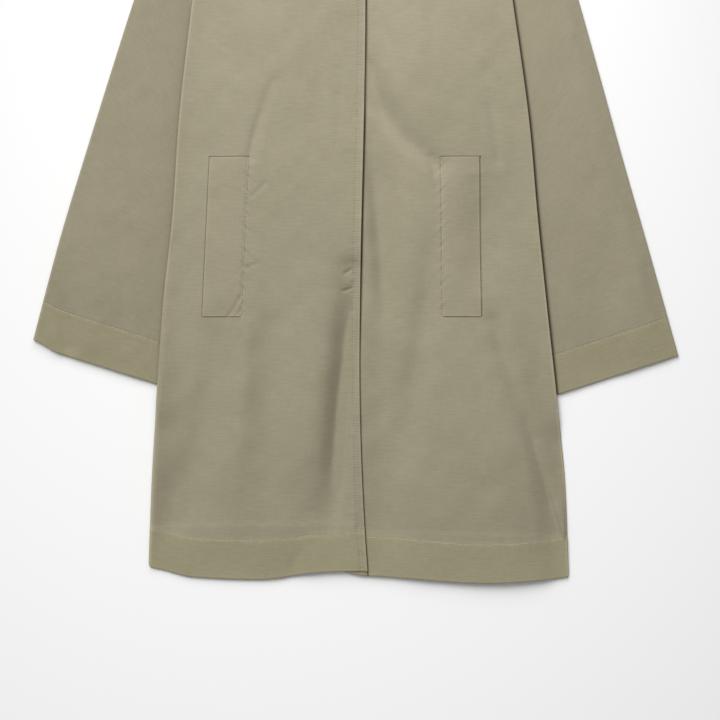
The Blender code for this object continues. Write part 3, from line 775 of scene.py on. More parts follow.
# Under front
# The front on the viewer's right, cut like the back but split down the middle. Its closing edge is
# hidden: the other front laps over it, and the cloth dips under that edge.
FRONT_NECK_DROP = 0.085
WELT_TOP_Y = 0.0310
WELT_LOW_Y = -0.1760
MID_SHOULDER = (NECK_HALF + SHOULDER_HALF) / 2.0
EDGE_HEM_Y = -0.500
EDGE_WAIST_Y = -0.230
EDGE_WAIST_X = 0.0053
EDGE_HEM_SWING = 0.0101
EDGE_TOP_SWING = 0.0076
EDGE_RISE = 0.460
EDGE_NEAR_X = 0.012
LAP_WIDTH = 0.055
BAND_WIDTH = 0.0095         # doubled strip along the closing edge, stitched down
BODY_PUFF = 0.0060
WAIST_PUFF = 0.0060         # the cloth lies highest at the waist
WAIST_Y = -0.060
CHEST_Y = 0.320
SIDE_ROLL = 0.0018
SIDE_ROLL_RUN = 0.0013
HEM_FALL = 0.420
HEM_PUFF = 0.45
HEM_CREASE_FALL = 0.110
HEM_DROOPS = {"left": 0.72, "right": 0.0}  # share of its height that a hem loses
DROOP_RUN = 0.062
DROOP_IN = 0.045
DROOP_OUT = 0.085
HIGHLIGHT_LINE_IN = 0.0019         # the pale line just inside a side seam lies this far in: partly wear, partly a painted highlight
HIGHLIGHT_LINE_HALF = 0.0012
ARM_FADE_LOW = 0.020        # the armhole's form gives way to the side's below and above the underarm
ARM_FADE_HIGH = 0.010
LAP_CREASE_IN = -0.002      # creases of the under front alone start at the closing edge
LAP_CREASE_OUT = 0.004
CORNER_ROUND = 0.006
# The body's side edges stand off the back: how high, with how much of a ridge, the run to the full rise,
# and the share of the lift that is left below the cuffs
SideLift = namedtuple("SideLift", "lift ridge ridge_half run settled")
SIDE_LIFTS = {
    "left": SideLift(lift=0.0024, ridge=0.0018, ridge_half=0.014, run=0.110, settled=0.6),
    "right": SideLift(lift=0.0042, ridge=0.0014, ridge_half=0.016, run=0.090, settled=0.1),
}
SETTLE_TOP = -0.230
SETTLE_LOW = -0.330
CREASE_FADE = 0.005
CORNER_FOLD = 0.045         # finer cells where a sharp fold runs into the hem's corner
WIDE_RAMP = 0.160           # the fronts bridge the step that the back makes over the sleeves
HEM_ROLL = 0.0009
LAP_DROP = 0.0026
LAP_LEVEL = 0.012
LAP_RUN = 0.066
LAP_SAG = 0.0015            # the under front hangs lower at the closing edge about the waist
LAP_SAG_TOP = 0.055
LAP_SAG_LOW = -0.080
LAP_SAG_FADE = 0.060
LAP_SAG_RUN = 0.004
LAP_LOW = -0.190
LAP_GROOVE = 0.0026
LAP_GROOVE_LOW = 0.0009
LAP_GROOVE_HALF = 0.0016
LAP_SHADE_HALF = 0.0026
LAP_SHADE_LOW = 0.0010
LAP_GROOVE_OFFSET = 0.0004
WELT_SINK = 0.0024
GROOVE_WALL = 0.0005
SEAM_SOFT = 0.0025
WELT_STRIP = 0.004
SEAM_STRIP = 0.003          # fine cells on either side of a seam
LAP_STRIP = 0.006           # fine cells on either side of the lap, and medium ones beyond it
LAP_BELT = 0.040
FRONT_WAVE_SEED = 51
HEM_DENT_SEED = 61
UNDER_STITCH_SEED = 71
WELT_DRAWN = 0.0007         # height of the puckers beside a welt's seam
WELT_DRAWN_HALF = 0.0080
WELT_DRAWN_PITCH = 0.0062
WELT_SEEDS = {"left": 91, "right": 92}
Welt = namedtuple("Welt", "top_x low_x width")
WELTS = {"left": Welt(top_x=0.1374, low_x=0.1470, width=0.0515),
         "right": Welt(top_x=0.1097, low_x=0.1120, width=0.0520)}
# Creases near the closing edge run through both fronts, so both take OVER_CREASES
OVER_CREASES = [
    Crease(0.0000, -0.1150, -0.0285, -0.4450, 0.0000, 0.0240, 0.0090, -0.0060, -0.0145, -0.0008),
    Crease(-0.0290, -0.1400, -0.0565, -0.4300, 0.0000, 0.0450, 0.0220, 0.0030, 0.0122, 0.0016),
    Crease(0.0250, 0.2350, 0.0080, 0.0400, 0.0000, 0.0550, 0.0300, -0.0040, -0.0066, -0.0020),
    Crease(-0.0060, -0.2300, 0.0010, -0.4500, 0.0000, 0.0060, 0.0100, 0.0008, 0.0011, 0.0014),
    Crease(-0.0780, -0.2600, -0.0880, -0.4950, 0.0000, 0.0300, 0.0340, 0.0004, 0.0007, 0.0010),
    Crease(-0.0060, -0.1150, -0.0165, -0.1215, 0.0000, 0.0020, 0.0018, -0.0014, -0.0018, -0.0004),
    Crease(-0.0050, -0.1385, -0.0185, -0.1435, 0.0000, 0.0020, 0.0018, -0.0014, -0.0020, -0.0004),
    Crease(-0.0040, -0.1270, -0.0130, -0.1310, 0.0000, 0.0034, 0.0034, 0.0008, 0.0006, 0.0004),
    Crease(-0.1060, 0.1300, -0.1370, 0.0310, -0.0030, 0.0055, 0.0080, -0.0010, -0.0020, -0.0034),
    Crease(-0.1390, -0.1840, -0.1520, -0.3870, 0.0000, 0.0110, 0.0120, 0.0016, 0.0020, 0.0006),
    Crease(-0.1130, -0.1900, -0.1110, -0.4500, 0.0000, 0.0220, 0.0180, -0.0024, -0.0042, -0.0010),
    Crease(-0.1729, -0.1823, -0.2480, -0.4700, 0.0120, 0.0240, 0.0280, -0.0036, -0.0060, -0.0016),
    Crease(-0.2490, -0.1400, -0.2740, -0.4800, 0.0000, 0.0180, 0.0220, 0.0024, 0.0086, 0.0096),
    Crease(-0.0680, 0.2350, -0.0360, 0.0850, 0.0020, 0.0200, 0.0200, -0.0024, -0.0030, -0.0008),
    Crease(-0.1166, -0.0028, -0.1353, -0.0214, 0.0010, 0.0030, 0.0030, -0.0010, -0.0009, -0.0008),
    Crease(-0.1392, -0.1124, -0.1269, -0.1072, 0.0000, 0.0030, 0.0030, -0.0010, -0.0008, -0.0006),
    Crease(-0.0227, 0.1440, -0.0227, 0.0470, 0.0020, 0.0080, 0.0080, -0.0008, -0.0007, -0.0006),
    Crease(-0.0978, -0.4640, -0.0680, -0.4597, -0.0010, 0.0018, 0.0018, -0.0004, -0.0007, -0.0010),
    Crease(-0.0640, -0.4590, -0.0136, -0.4571, 0.0000, 0.0018, 0.0018, -0.0010, -0.0008, -0.0006),
    Crease(-0.0758, -0.4880, -0.0861, -0.5113, -0.0020, 0.0040, 0.0050, -0.0020, -0.0027, -0.0034),
    Crease(-0.1560, 0.3900, -0.1100, 0.2700, 0.0040, 0.0140, 0.0200, -0.0016, -0.0013, -0.0010),
]
UNDER_CREASES = [
    Crease(0.0090, 0.1400, 0.1050, 0.0200, -0.0115, 0.0100, 0.0180, -0.0070, -0.0068, -0.0060),
    Crease(0.0340, 0.2030, 0.1150, 0.0620, -0.0060, 0.0420, 0.0900, 0.0040, 0.0056, 0.0014),
    Crease(0.1600, 0.0100, 0.1720, -0.1500, 0.0000, 0.0260, 0.0300, -0.0010, -0.0090, -0.0010),
    Crease(0.0187, 0.0850, 0.0420, -0.1900, 0.0000, 0.0125, 0.0280, -0.0004, -0.0104, -0.0008),
    Crease(0.0340, -0.1200, 0.0370, -0.4800, 0.0000, 0.0200, 0.0240, -0.0014, -0.0040, -0.0012),
    Crease(0.0740, -0.0110, 0.0620, -0.1500, 0.0000, 0.0220, 0.0240, 0.0016, 0.0022, 0.0008),
    Crease(0.0985, -0.0891, 0.0520, -0.4000, 0.0040, 0.0190, 0.0190, -0.0026, -0.0062, -0.0006),
    Crease(0.1960, -0.2200, 0.2360, -0.5000, 0.0000, 0.0980, 0.0210, 0.0022, 0.0096, 0.0104),
    Crease(0.1790, -0.1823, 0.2540, -0.4103, -0.0020, 0.0130, 0.0120, -0.0036, -0.0046, -0.0024),
    Crease(0.2345, -0.3430, 0.2700, -0.4570, 0.0010, 0.0030, 0.0120, 0.0018, 0.0050, 0.0064),
    Crease(0.1716, 0.1116, 0.1845, 0.0275, 0.0010, 0.0070, 0.0070, -0.0008, -0.0010, -0.0012),
    Crease(0.0978, 0.0313, 0.1055, -0.0541, 0.0010, 0.0040, 0.0050, -0.0012, -0.0009, -0.0006),
    Crease(0.0285, 0.2208, 0.0447, 0.1751, 0.0010, 0.0060, 0.0060, -0.0014, -0.0011, -0.0008),
    Crease(0.0809, 0.2346, 0.0809, 0.1570, 0.0010, 0.0150, 0.0120, 0.0018, 0.0013, 0.0008),
    Crease(0.1300, 0.3900, 0.0950, 0.2600, -0.0040, 0.0180, 0.0140, -0.0014, -0.0011, -0.0008),
]
UNDER_ROWS = [4, 12, 8, 80, 14, 80, 14, 62, 34]
UNDER_COLUMNS = [10, 16, 14, 18, 10, 12, 10, 26, 30, 10]


def closing_edge(y):
    """The closing edge swings out towards the hem and a little towards the neck."""
    low = EDGE_HEM_SWING * ((y - EDGE_WAIST_Y) / (EDGE_HEM_Y - EDGE_WAIST_Y)) ** 2
    high = EDGE_TOP_SWING * smooth(EDGE_WAIST_Y, EDGE_WAIST_Y + EDGE_RISE, y)
    return EDGE_WAIST_X + np.where(y < EDGE_WAIST_Y, low, high)


def welt_lines(half, y):
    """The welt's inner and outer edges, run on down to the hem and up to the neck and shoulder."""
    welt = WELTS[half.name]
    inner = mix(welt.top_x, welt.low_x, (WELT_TOP_Y - y) / (WELT_TOP_Y - WELT_LOW_Y))
    share = (y - WELT_TOP_Y) / (SHOULDER_TIP_Y - WELT_TOP_Y)
    inner = np.where(y > WELT_TOP_Y, mix(welt.top_x, NECK_HALF, share), inner)
    outer = np.where(y > WELT_TOP_Y, mix(welt.top_x + welt.width, MID_SHOULDER, share), inner + welt.width)
    return half.sign * inner, half.sign * outer


def front_row_lines(half):
    """Row lines of one front: its hem, the welt's ends, the underarm and its top."""
    def lines(x):
        hem = front_hem(half, x)
        level = np.zeros_like(x)
        return [hem, hem + EDGE_STRIP, hem + HEM_DEPTH - EDGE_STRIP, hem + HEM_DEPTH + EDGE_STRIP,
                level + WELT_LOW_Y - WELT_STRIP, level + WELT_LOW_Y + WELT_STRIP,
                level + WELT_TOP_Y - WELT_STRIP, level + WELT_TOP_Y + WELT_STRIP,
                level + UNDERARM_Y, top_line(x, FRONT_NECK_DROP)]

    return lines


def hem_wall(y, hem):
    return mix(WALL, DOUBLED_WALL, hem_share(y - hem))


def layer_walls(half, x, y):
    """Thickness of the back and a front together, more where their hems are turned up."""
    return hem_wall(y, back_hem(x)) + hem_wall(y, front_hem(half, x))


def on_back(half, x, y):
    """Outer face of a front that lies straight on the back."""
    return back_underside(x, y) + FACE_LIFT + layer_walls(half, x, y) + SEAM_GAP


def below_armhole(y):
    return 1.0 - smooth(UNDERARM_Y - ARM_FADE_LOW, UNDERARM_Y + ARM_FADE_HIGH, y)


def hem_fall(half, x, y, run):
    """The cloth settles towards the hem, and away from the lap its last strip droops to the floor."""
    rise = y - front_hem(half, x)
    past_lap = smooth(DROOP_IN, DROOP_OUT, half.sign * x)
    droop = HEM_DROOPS[half.name] * past_lap * (1.0 - smooth(0.0, DROOP_RUN, rise))
    return mix(HEM_PUFF, 1.0, smooth(0.0, run, rise)) * (1.0 - droop)


def side_stand(half, y):
    """How much of its lift a side edge keeps: all of it over the sleeve, less below the cuff."""
    return mix(SIDE_LIFTS[half.name].settled, 1.0, smooth(SETTLE_LOW, SETTLE_TOP, y)) * below_armhole(y)


def from_welt(half, x, y):
    """Distances in from the four edges of a welt: its seam, its opening, its top and its foot."""
    inner, outer = welt_lines(half, y)
    return half.sign * (x - inner), half.sign * (outer - x), WELT_TOP_Y - y, y - WELT_LOW_Y


def welt_puckers(half, x, y):
    """The stitches of a welt's seam draw up small uneven puckers on both sides of it."""
    seam, _, top, foot = from_welt(half, x, y)
    beside = seam_mark(seam, WELT_DRAWN_HALF) * smooth(0.0, WELT_STRIP, top) * smooth(0.0, WELT_STRIP, foot)
    return WELT_DRAWN * uneven(y - half.sign * x, WELT_DRAWN_PITCH, WELT_SEEDS[half.name]) * beside


def front_face(half, x, y):
    """Outer face of a front without its edges: low at the seams, risen and creased between them."""
    side = SIDE_LIFTS[half.name]
    inside = side_half(half, y) - half.sign * x
    shoulder = NECK_POINT_Y - np.maximum(np.abs(x) - NECK_HALF, 0.0) * SHOULDER_SLOPE - y
    loose = below_armhole(y)
    at_shoulder = smooth(0.0, PUFF_RUN, shoulder)
    rise = smooth(0.0, mix(PUFF_RUN, side.run, loose), inside) * at_shoulder
    stand = side_stand(half, y)
    ridge = side.ridge * stand * np.exp(-(inside / side.ridge_half) ** 2)
    puff = BODY_PUFF + WAIST_PUFF * smooth(CHEST_Y, WAIST_Y, y)
    edge_lift = mix(armhole_rise(y), side.lift * stand, loose)
    lift = (mix(edge_lift, puff, rise) + ridge) * hem_fall(half, x, y, HEM_FALL)
    past_lap = smooth(LAP_CREASE_IN, LAP_CREASE_OUT, x - closing_edge(y))
    creases = crease_height(OVER_CREASES, x, y) + past_lap * crease_height(UNDER_CREASES, x, y)
    creases = (creases + soft_waves(x, y, FRONT_WAVE_SEED)) * hem_fall(half, x, y, HEM_CREASE_FALL)
    creases = creases * smooth(0.0, CREASE_FADE, inside) * at_shoulder
    bridge = mix(back_underside(x, y), back_underside(x, y, WIDE_RAMP), smooth(0.0, PUFF_RUN, inside))
    flat = bridge + FACE_LIFT + layer_walls(half, x, y) + SEAM_GAP
    return flat + lift + creases + welt_puckers(half, x, y)


def welt_sink(half, x, y):
    """How far a front is sunk under its welt: steeply at the ends and the opening, softly at the seam."""
    seam, opening, top, foot = from_welt(half, x, y)
    groove = smooth(-GROOVE_WALL, 0.0, opening) * smooth(-GROOVE_WALL, 0.0, np.minimum(top, foot))
    return WELT_SINK * groove * smooth(-SEAM_SOFT, WELT_STRIP, seam)


def front_edges(half, x, y):
    """What a front's edges take off its face: rolled sides and hem, and the dent of the hem's stitches."""
    from_hem = y - front_hem(half, x)
    from_side = side_half(half, y) - half.sign * x
    dent = seam_dent(from_hem - HEM_DEPTH, x, HEM_DENT_SEED)
    side = SIDE_LIFTS[half.name]
    edge_height = (side.lift + side.ridge) * side_stand(half, y) * hem_fall(half, x, y, HEM_FALL)
    return dent - rolled(from_side, SIDE_ROLL_RUN, SIDE_ROLL + edge_height) - rolled(from_hem, HEM_ROLL)


def wear_and_highlight_line(distance):
    """A side seam shows a thin pale line just inside the edge: partly wear, partly a painted highlight."""
    return seam_mark(distance - HIGHLIGHT_LINE_IN, HIGHLIGHT_LINE_HALF)


def front_side(half, y):
    """A front's side edge, rounded off at the hem's corner."""
    corner = y - front_hem(half, half.sign * half.hem_half)
    return side_half(half, y) - rolled(corner, CORNER_ROUND)


def under_columns():
    rows = front_row_lines(RIGHT)
    edge = closing_edge(rows_at(EDGE_NEAR_X, rows, UNDER_ROWS))
    side_y = rows_at(RIGHT.hem_half, rows, UNDER_ROWS)
    inner, outer = welt_lines(RIGHT, side_y)
    side = front_side(RIGHT, side_y)
    return np.stack([edge - LAP_WIDTH, edge - LAP_STRIP, edge + LAP_STRIP, edge + LAP_BELT,
                     inner - SEAM_STRIP, inner + SEAM_STRIP, outer - SEAM_STRIP, outer + SEAM_STRIP,
                     side - CORNER_FOLD, side - EDGE_STRIP, side], axis=-1)


def upper_lap(y):
    """1 where the closing edge stands well off the under front, 0 towards the hem where it lies down."""
    return smooth(LAP_LOW - LAP_SAG_FADE, LAP_LOW + LAP_SAG_FADE, y)


def under_height(x, y):
    """Height of the under front, which is lower under the lap, grooved along it and sunk under its welt."""
    past_edge = x - closing_edge(y)
    lap = LAP_DROP * (1.0 - smooth(LAP_LEVEL, LAP_LEVEL + LAP_RUN, past_edge))
    sag = smooth(LAP_SAG_LOW - LAP_SAG_FADE, LAP_SAG_LOW, y)
    sag = sag * smooth(LAP_SAG_TOP + LAP_SAG_FADE, LAP_SAG_TOP, y)
    lap = lap + LAP_SAG * sag * (1.0 - smooth(0.0, LAP_SAG_RUN, past_edge))
    depth = mix(LAP_GROOVE_LOW, LAP_GROOVE, upper_lap(y))
    groove = depth * seam_mark(past_edge - LAP_GROOVE_OFFSET, LAP_GROOVE_HALF)
    face = front_face(RIGHT, x, y) - lap - groove - welt_sink(RIGHT, x, y)
    return np.maximum(face, on_back(RIGHT, x, y)) + front_edges(RIGHT, x, y)


def hem_row(half, start, end, height):
    """Path of the stitches along a front's hem."""
    x = np.linspace(start, end, HEM_POINTS)
    y = front_hem(half, x) + HEM_DEPTH
    return np.stack([x, y, height(x, y)], axis=-1)


under_x, under_y = panel_plan(under_columns(), UNDER_COLUMNS, front_row_lines(RIGHT), UNDER_ROWS)
under_rise = under_y - front_hem(RIGHT, under_x)
under_past = under_x - closing_edge(under_y)
under_side = side_half(RIGHT, under_y) - under_x
# The hem and the side edge are painted paler: partly wear, partly a painted highlight
under_wear_and_highlight = np.maximum(np.exp(-under_rise / WEAR_AND_HIGHLIGHT_FADE),
                           wear_and_highlight_line(under_side) * smooth(UNDERARM_Y, SETTLE_TOP, under_y))
# Painted shade: a dark strip in the crevice under the over front's closing edge
under_shade = seam_mark(under_past, mix(LAP_SHADE_LOW, LAP_SHADE_HALF, upper_lap(under_y)))
front_under = cloth("front_under", np.stack([under_x, under_y, under_height(under_x, under_y)], axis=-1),
                    np.stack([under_x, under_y], axis=-1), body_gabardine,
                    hem_wall(under_y, front_hem(RIGHT, under_x)), doubled=hem_share(under_rise),
                    pressed=under_wear_and_highlight, deep=under_shade,
                    level_seam=seam_mark(under_rise - HEM_DEPTH, SEAM_HALF))
under_path = hem_row(RIGHT, EDGE_NEAR_X - LAP_WIDTH / 2.0, RIGHT.hem_half - EDGE_STRIP, under_height)
under_stitches = stitch_row("front_under_stitches", under_path, UNDER_STITCH_SEED)
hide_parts("front_under")

# Over front
# The front on the viewer's left. Its closing edge is doubled over a hidden button stand, stitched
# down about a centimetre in, and drawn up by the stitching into a ladder of fine puckers.
BAND_WALL = 0.0020
BAND_ROLL = 0.0010
BAND_BEAD = 0.0004          # the folded edge stands a little proud of the band
BAND_BEAD_HALF = 0.0020
BAND_POINTS = 600
LADDER_SHARE = 0.75         # place of the puckers across the band
LADDER_HALF = 0.0040
OVER_HEM_SEED = 81
OVER_BAND_SEED = 82
LADDER_SEED = 83
OVER_ROWS = [4, 12, 8, 80, 14, 124, 14, 62, 34]
OVER_COLUMNS = [10, 20, 8, 12, 8, 60, 9, 6]


def over_columns():
    rows = front_row_lines(LEFT)
    edge = closing_edge(rows_at(EDGE_NEAR_X, rows, OVER_ROWS))
    side_y = rows_at(-LEFT.hem_half, rows, OVER_ROWS)
    inner, outer = welt_lines(LEFT, side_y)
    side = -front_side(LEFT, side_y)
    return np.stack([side, side + EDGE_STRIP, outer - SEAM_STRIP, outer + SEAM_STRIP,
                     inner - SEAM_STRIP, inner + SEAM_STRIP,
                     edge - BAND_WIDTH - SEAM_STRIP, edge - SEAM_STRIP, edge], axis=-1)


def over_height(x, y):
    """Height of the over front, which lies on the under front along the lap and on the back beyond it."""
    to_edge = closing_edge(y) - x
    bead = BAND_BEAD * seam_mark(to_edge, BAND_BEAD_HALF) - rolled(to_edge, BAND_ROLL)
    dent = seam_dent(to_edge - BAND_WIDTH, y, LADDER_SEED)
    on_lap = (BAND_WALL + 2.0 * SEAM_GAP) * (to_edge < LAP_WIDTH)
    face = np.maximum(front_face(LEFT, x, y) - welt_sink(LEFT, x, y), on_back(LEFT, x, y) + on_lap)
    return face + front_edges(LEFT, x, y) + bead + dent


over_x, over_y = panel_plan(over_columns(), OVER_COLUMNS, front_row_lines(LEFT), OVER_ROWS)
over_rise = over_y - front_hem(LEFT, over_x)
over_band = closing_edge(over_y) - over_x
over_side = side_half(LEFT, over_y) + over_x
on_band = 1.0 - smooth(BAND_WIDTH, BAND_WIDTH + HEM_STEP, over_band)
# The hem, the side edge and the closing edge are painted paler: partly wear, partly a painted highlight
over_wear_and_highlight = np.maximum.reduce([np.exp(-over_rise / WEAR_AND_HIGHLIGHT_FADE), wear_and_highlight_line(over_side),
                                  np.exp(-over_band / WEAR_AND_HIGHLIGHT_FADE)])
front_over = cloth("front_over", np.stack([over_x, over_y, over_height(over_x, over_y)], axis=-1),
                   np.stack([over_x, over_y], axis=-1), body_gabardine,
                   np.maximum(hem_wall(over_y, front_hem(LEFT, over_x)), mix(WALL, BAND_WALL, on_band)),
                   doubled=hem_share(over_rise), pressed=over_wear_and_highlight,
                   upright_seam=seam_mark(over_band - LADDER_SHARE * BAND_WIDTH, LADDER_HALF),
                   level_seam=seam_mark(over_rise - HEM_DEPTH, SEAM_HALF) * (1.0 - on_band))
over_path = hem_row(LEFT, EDGE_STRIP - LEFT.hem_half, EDGE_NEAR_X - BAND_WIDTH, over_height)
band_y = np.linspace(LEFT.hem_y + EDGE_STRIP, NECK_POINT_Y - FRONT_NECK_DROP - EDGE_STRIP, BAND_POINTS)
band_x = closing_edge(band_y) - BAND_WIDTH
band_path = np.stack([band_x, band_y, over_height(band_x, band_y)], axis=-1)
over_stitches = [
    stitch_row("front_over_stitches", over_path, OVER_HEM_SEED),
    stitch_row("closing_edge_stitches", band_path, OVER_BAND_SEED, thread=matching_thread),
]
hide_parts("front_over")

# Pocket welts
# A doubled strip on each front, seamed along its inner side and open along its outer side, with its
# ends turned in. The seam's stitches draw the cloth up beside it.
WELT_WALL = 0.0014
WELT_SEAM_WALL = 0.0002
WELT_PROUD = 0.0006
WELT_ROLL = 0.0005
WELT_SEAM_DIP = 0.0012
WELT_SEAM_HALF = 0.0030
WELT_END_GAP = 0.0003
WELT_OPENING_GAP = {"left": 0.0002, "right": 0.0019}
WELT_WEAR_AND_HIGHLIGHT = 0.0012
WELT_STITCH = 0.0020
WELT_STITCH_GAP = 0.0014
WELT_STITCH_IN = 0.0009
WELT_POINTS = 200
WELT_KHAKI = (0.330, 0.296, 0.207, 1.0)
WELT_SHADE = (0.281, 0.251, 0.170, 1.0)
WELT_ROWS = [10, 76, 10]
WELT_COLUMNS = [10, 26, 10]
WELT_CREASES = [
    Crease(-0.1490, -0.1500, -0.1641, -0.1746, 0.0010, 0.0022, 0.0036, -0.0010, -0.0011, -0.0012),
    Crease(-0.1475, -0.1560, -0.1600, -0.1760, 0.0010, 0.0022, 0.0036, 0.0006, 0.0005, 0.0005),
    Crease(-0.1485, -0.1668, -0.1561, -0.1746, 0.0000, 0.0018, 0.0024, -0.0006, -0.0005, -0.0005),
    Crease(-0.1475, -0.1124, -0.1579, -0.1228, 0.0010, 0.0022, 0.0026, -0.0006, -0.0004, -0.0003),
    Crease(0.1141, -0.1046, 0.1302, -0.1163, 0.0010, 0.0026, 0.0026, -0.0006, -0.0004, -0.0002),
]
welt_gabardine = gabardine("welt_gabardine", WELT_KHAKI, WELT_SHADE)


def welt_height(half, x, y):
    seam, opening, top, foot = from_welt(half, x, y)
    roll = (rolled(opening - WELT_OPENING_GAP[half.name], WELT_ROLL) + rolled(top - WELT_END_GAP, WELT_ROLL)
            + rolled(foot - WELT_END_GAP, WELT_ROLL))
    dip = WELT_SEAM_DIP * seam_mark(seam, WELT_SEAM_HALF)
    return front_face(half, x, y) + WELT_PROUD + crease_height(WELT_CREASES, x, y) - dip - roll


def make_welt(half):
    name = "welt_" + half.name
    y = between(np.array([WELT_LOW_Y + WELT_END_GAP, WELT_LOW_Y + WELT_STRIP, WELT_TOP_Y - WELT_STRIP,
                          WELT_TOP_Y - WELT_END_GAP]), WELT_ROWS)
    inner, outer = welt_lines(half, y)
    seam_x = inner + half.sign * SEAM_GAP
    opening_x = outer - half.sign * WELT_OPENING_GAP[half.name]
    lines = [seam_x, seam_x + half.sign * WELT_STRIP, opening_x - half.sign * WELT_STRIP, opening_x]
    x = between(np.stack(lines, axis=-1), WELT_COLUMNS)
    y = np.broadcast_to(y[:, None], x.shape)
    seam, opening, top, foot = from_welt(half, x, y)
    from_end = np.minimum(top, foot) - WELT_END_GAP
    from_edge = np.minimum(opening - WELT_OPENING_GAP[half.name], from_end)
    wall = mix(WELT_SEAM_WALL, WELT_WALL, smooth(0.0, WELT_STRIP, seam))
    # The welt's free edges are painted paler: partly wear, partly a painted highlight
    piece = cloth(name, np.stack([x, y, welt_height(half, x, y)], axis=-1), np.stack([x, y], axis=-1),
                  welt_gabardine, wall, turned=half.sign < 0, pressed=np.exp(-from_edge / WELT_WEAR_AND_HIGHLIGHT),
                  upright_seam=seam_mark(seam, SEAM_HALF))
    row_y = np.linspace(WELT_LOW_Y + WELT_STRIP, WELT_TOP_Y - WELT_STRIP, WELT_POINTS)
    row_x = welt_lines(half, row_y)[0] + half.sign * WELT_STITCH_IN
    path = np.stack([row_x, row_y, welt_height(half, row_x, row_y)], axis=-1)
    stitches = stitch_row(name + "_stitches", path, WELT_SEEDS[half.name],
                          stitch=WELT_STITCH, gap=WELT_STITCH_GAP)
    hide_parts(name)


make_welt(LEFT)
make_welt(RIGHT)

# Neck band
# A plain straight strip of the same gabardine finishes the neck edge, seamed to the fronts and the
# back along its foot and pressed flat with them. It is hidden in the photo.
BAND_HEIGHT = 0.030
BAND_TAPER = 0.94
BAND_SEAM = 0.0004
NECK_WALL = 0.0012
NECK_ROLL = 0.0005
NECK_ROWS = [4, 10, 4]
NECK_EDGE_SHARE = 0.1       # fine rows along the band's foot and top
NECK_SEEDS = {"right": 101, "left": 102}
NECK_FRONT_CELLS = 40
NECK_BACK_CELLS = 60


def neck_points():
    """Grid of the band from the under front round the back to the over front."""
    edge = closing_edge(SHOULDER_TIP_Y)
    right = np.linspace(edge + 2.0 * SEAM_GAP, NECK_HALF, NECK_FRONT_CELLS + 1)
    left = np.linspace(-NECK_HALF, edge, NECK_FRONT_CELLS + 1)
    back = np.linspace(NECK_HALF, -NECK_HALF, NECK_BACK_CELLS + 1)
    bend = np.linspace(math.pi, 0.0, 2 * NOSE_CELLS + 1)[1:-1]
    x = np.concatenate([right, np.full(len(bend), NECK_HALF), back, np.full(len(bend), -NECK_HALF), left])
    turn = np.concatenate([np.full(len(right), math.pi), bend, np.zeros(len(back)), bend[::-1],
                           np.full(len(left), math.pi)])
    nose = FLAT_SLEEVE / 2.0
    rise = between(np.array([0.0, NECK_EDGE_SHARE, 1.0 - NECK_EDGE_SHARE, 1.0]), NECK_ROWS)[:, None]
    foot = top_line(x, np.where(turn == math.pi, FRONT_NECK_DROP, BACK_NECK_DROP))
    half_face = np.where(x > 0.0, front_face(RIGHT, x, foot), front_face(LEFT, x, foot))
    z = np.where(turn == math.pi, np.maximum(half_face, FLAT_SLEEVE), nose * (1.0 - np.cos(turn)))
    face = np.where(turn == math.pi, -1.0, np.where(turn == 0.0, 1.0, 0.0))
    roll = rolled((1.0 - rise) * BAND_HEIGHT, NECK_ROLL) * face
    reach = x * mix(1.0, BAND_TAPER, rise) + np.sign(x) * nose * np.sin(turn) * (face == 0.0)
    y = np.broadcast_to(foot + BAND_SEAM + BAND_HEIGHT * rise, reach.shape)
    return np.stack([reach, y, z + roll + FACE_LIFT], axis=-1)


band_points = neck_points()
band_run = np.concatenate([[0.0], np.cumsum(np.linalg.norm(np.diff(band_points[0], axis=0), axis=1))])
band_rise = band_points[:, :1, 1] - band_points[0, 0, 1]
band_cut = np.stack(np.broadcast_arrays(band_run, band_rise), axis=-1)
# The band's top edge is painted paler: partly wear, partly a painted highlight
neck_band = cloth("neck_band", band_points, band_cut, body_gabardine, NECK_WALL,
                  pressed=np.exp(-(BAND_HEIGHT - band_rise) / WEAR_AND_HIGHLIGHT_FADE),
                  level_seam=seam_mark(band_rise, SEAM_HALF))
neck_row = NECK_ROWS[0] // 2
last_right = NECK_FRONT_CELLS + 1
neck_stitches = [
    stitch_row("neck_stitches_right", band_points[neck_row, :last_right], NECK_SEEDS["right"]),
    stitch_row("neck_stitches_left", band_points[neck_row, -last_right:], NECK_SEEDS["left"]),
]
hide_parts("neck_band")

# Floor, light and camera
# A white sheet of paper under a large soft window light from the upper left, with a small soft lamp
# beyond the neck, seen from straight above.
FLOOR_HALF = 3.0
FLOOR_WHITE = (0.95, 0.95, 0.95, 1.0)
FLOOR_PAINTED_SHADE = (0.80, 0.80, 0.80, 1.0)
PAINTED_LIGHT_POOL = (-0.06, -0.48)    # a pool of light painted on the paper: its brightest place, and how far its painted light reaches
PAINTED_LIGHT_POOL_HALF = 0.94
PAPER_ROUGHNESS = 0.9
PAPER_SPECULAR = 0.1
LIGHT_TO = (-0.50, 0.85, 1.15)
LIGHT_AWAY = 9.0
LIGHT_SIDE = 6.0
LIGHT_POWER = 690.0
LAMP_AT = (0.0, 0.72, 0.60)
LAMP_AIM = (0.0, -0.15, 0.0)
LAMP_SIDE = 0.40
LAMP_POWER = 3.0
ROOM_COLOUR = (1.0, 1.0, 1.0, 1.0)
ROOM_STRENGTH = 0.345
PHOTO_MIDDLE = (0.0058, -0.2316)
CAMERA_HEIGHT = 2.21
CAMERA_LENS = 85.0
CAMERA_SENSOR = 36.0

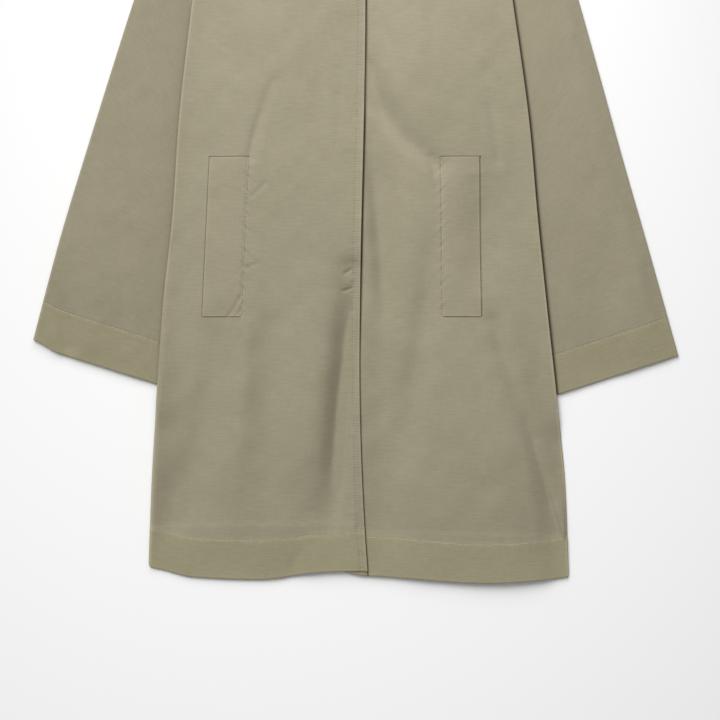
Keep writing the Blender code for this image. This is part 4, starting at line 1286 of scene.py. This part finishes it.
bpy.ops.mesh.primitive_plane_add(size=2.0 * FLOOR_HALF)
floor = bpy.context.object
floor.name = "floor"
paper = bpy.data.materials.new("white_paper")
paper.use_nodes = True
paper_shader = paper.node_tree.nodes["Principled BSDF"]
place = Wire(paper.node_tree.nodes.new("ShaderNodeTexCoord").outputs["Object"])
aside = place.node("ShaderNodeSeparateXYZ", inputs={0: place}) - PAINTED_LIGHT_POOL[0]
above = place.node("ShaderNodeSeparateXYZ", inputs={0: place}, output=1) - PAINTED_LIGHT_POOL[1]
from_painted_pool = (aside * aside + above * above) * (1.0 / PAINTED_LIGHT_POOL_HALF ** 2)
# Painted light: the paper is painted paler round one place and greyer away from it
paper_painted_light = blend(place, place.maths("MINIMUM", from_painted_pool, 1.0), FLOOR_WHITE, FLOOR_PAINTED_SHADE)
paper.node_tree.links.new(paper_painted_light.socket, paper_shader.inputs["Base Color"])
paper_shader.inputs["Roughness"].default_value = PAPER_ROUGHNESS
paper_shader.inputs["Specular IOR Level"].default_value = PAPER_SPECULAR
floor.data.materials.append(paper)


def soft_light(name, place, target, side, power):
    """A square soft light turned to its target."""
    light = bpy.data.lights.new(name, "AREA")
    light.energy = power
    light.size = side
    lamp = bpy.data.objects.new(name, light)
    lamp.location = place
    away = (np.array(place) - np.array(target)) / math.dist(place, target)
    lamp.rotation_euler = (math.acos(away[2]), 0.0, math.atan2(away[0], -away[1]))
    bpy.context.scene.collection.objects.link(lamp)


middle = np.array([*PHOTO_MIDDLE, 0.0])
window_at = middle + np.array(LIGHT_TO) / math.hypot(*LIGHT_TO) * LIGHT_AWAY
soft_light("window", window_at, middle, LIGHT_SIDE, LIGHT_POWER)
soft_light("lamp", LAMP_AT, LAMP_AIM, LAMP_SIDE, LAMP_POWER)

world = bpy.data.worlds.new("room")
world.use_nodes = True
world.node_tree.nodes["Background"].inputs["Color"].default_value = ROOM_COLOUR
world.node_tree.nodes["Background"].inputs["Strength"].default_value = ROOM_STRENGTH
bpy.context.scene.world = world

camera = bpy.data.cameras.new("camera")
camera.lens = CAMERA_LENS
camera.sensor_width = CAMERA_SENSOR
camera_object = bpy.data.objects.new("camera", camera)
camera_object.location = (*PHOTO_MIDDLE, CAMERA_HEIGHT)
bpy.context.scene.collection.objects.link(camera_object)
bpy.context.scene.camera = camera_object
bpy.context.scene.view_settings.view_transform = "Standard"
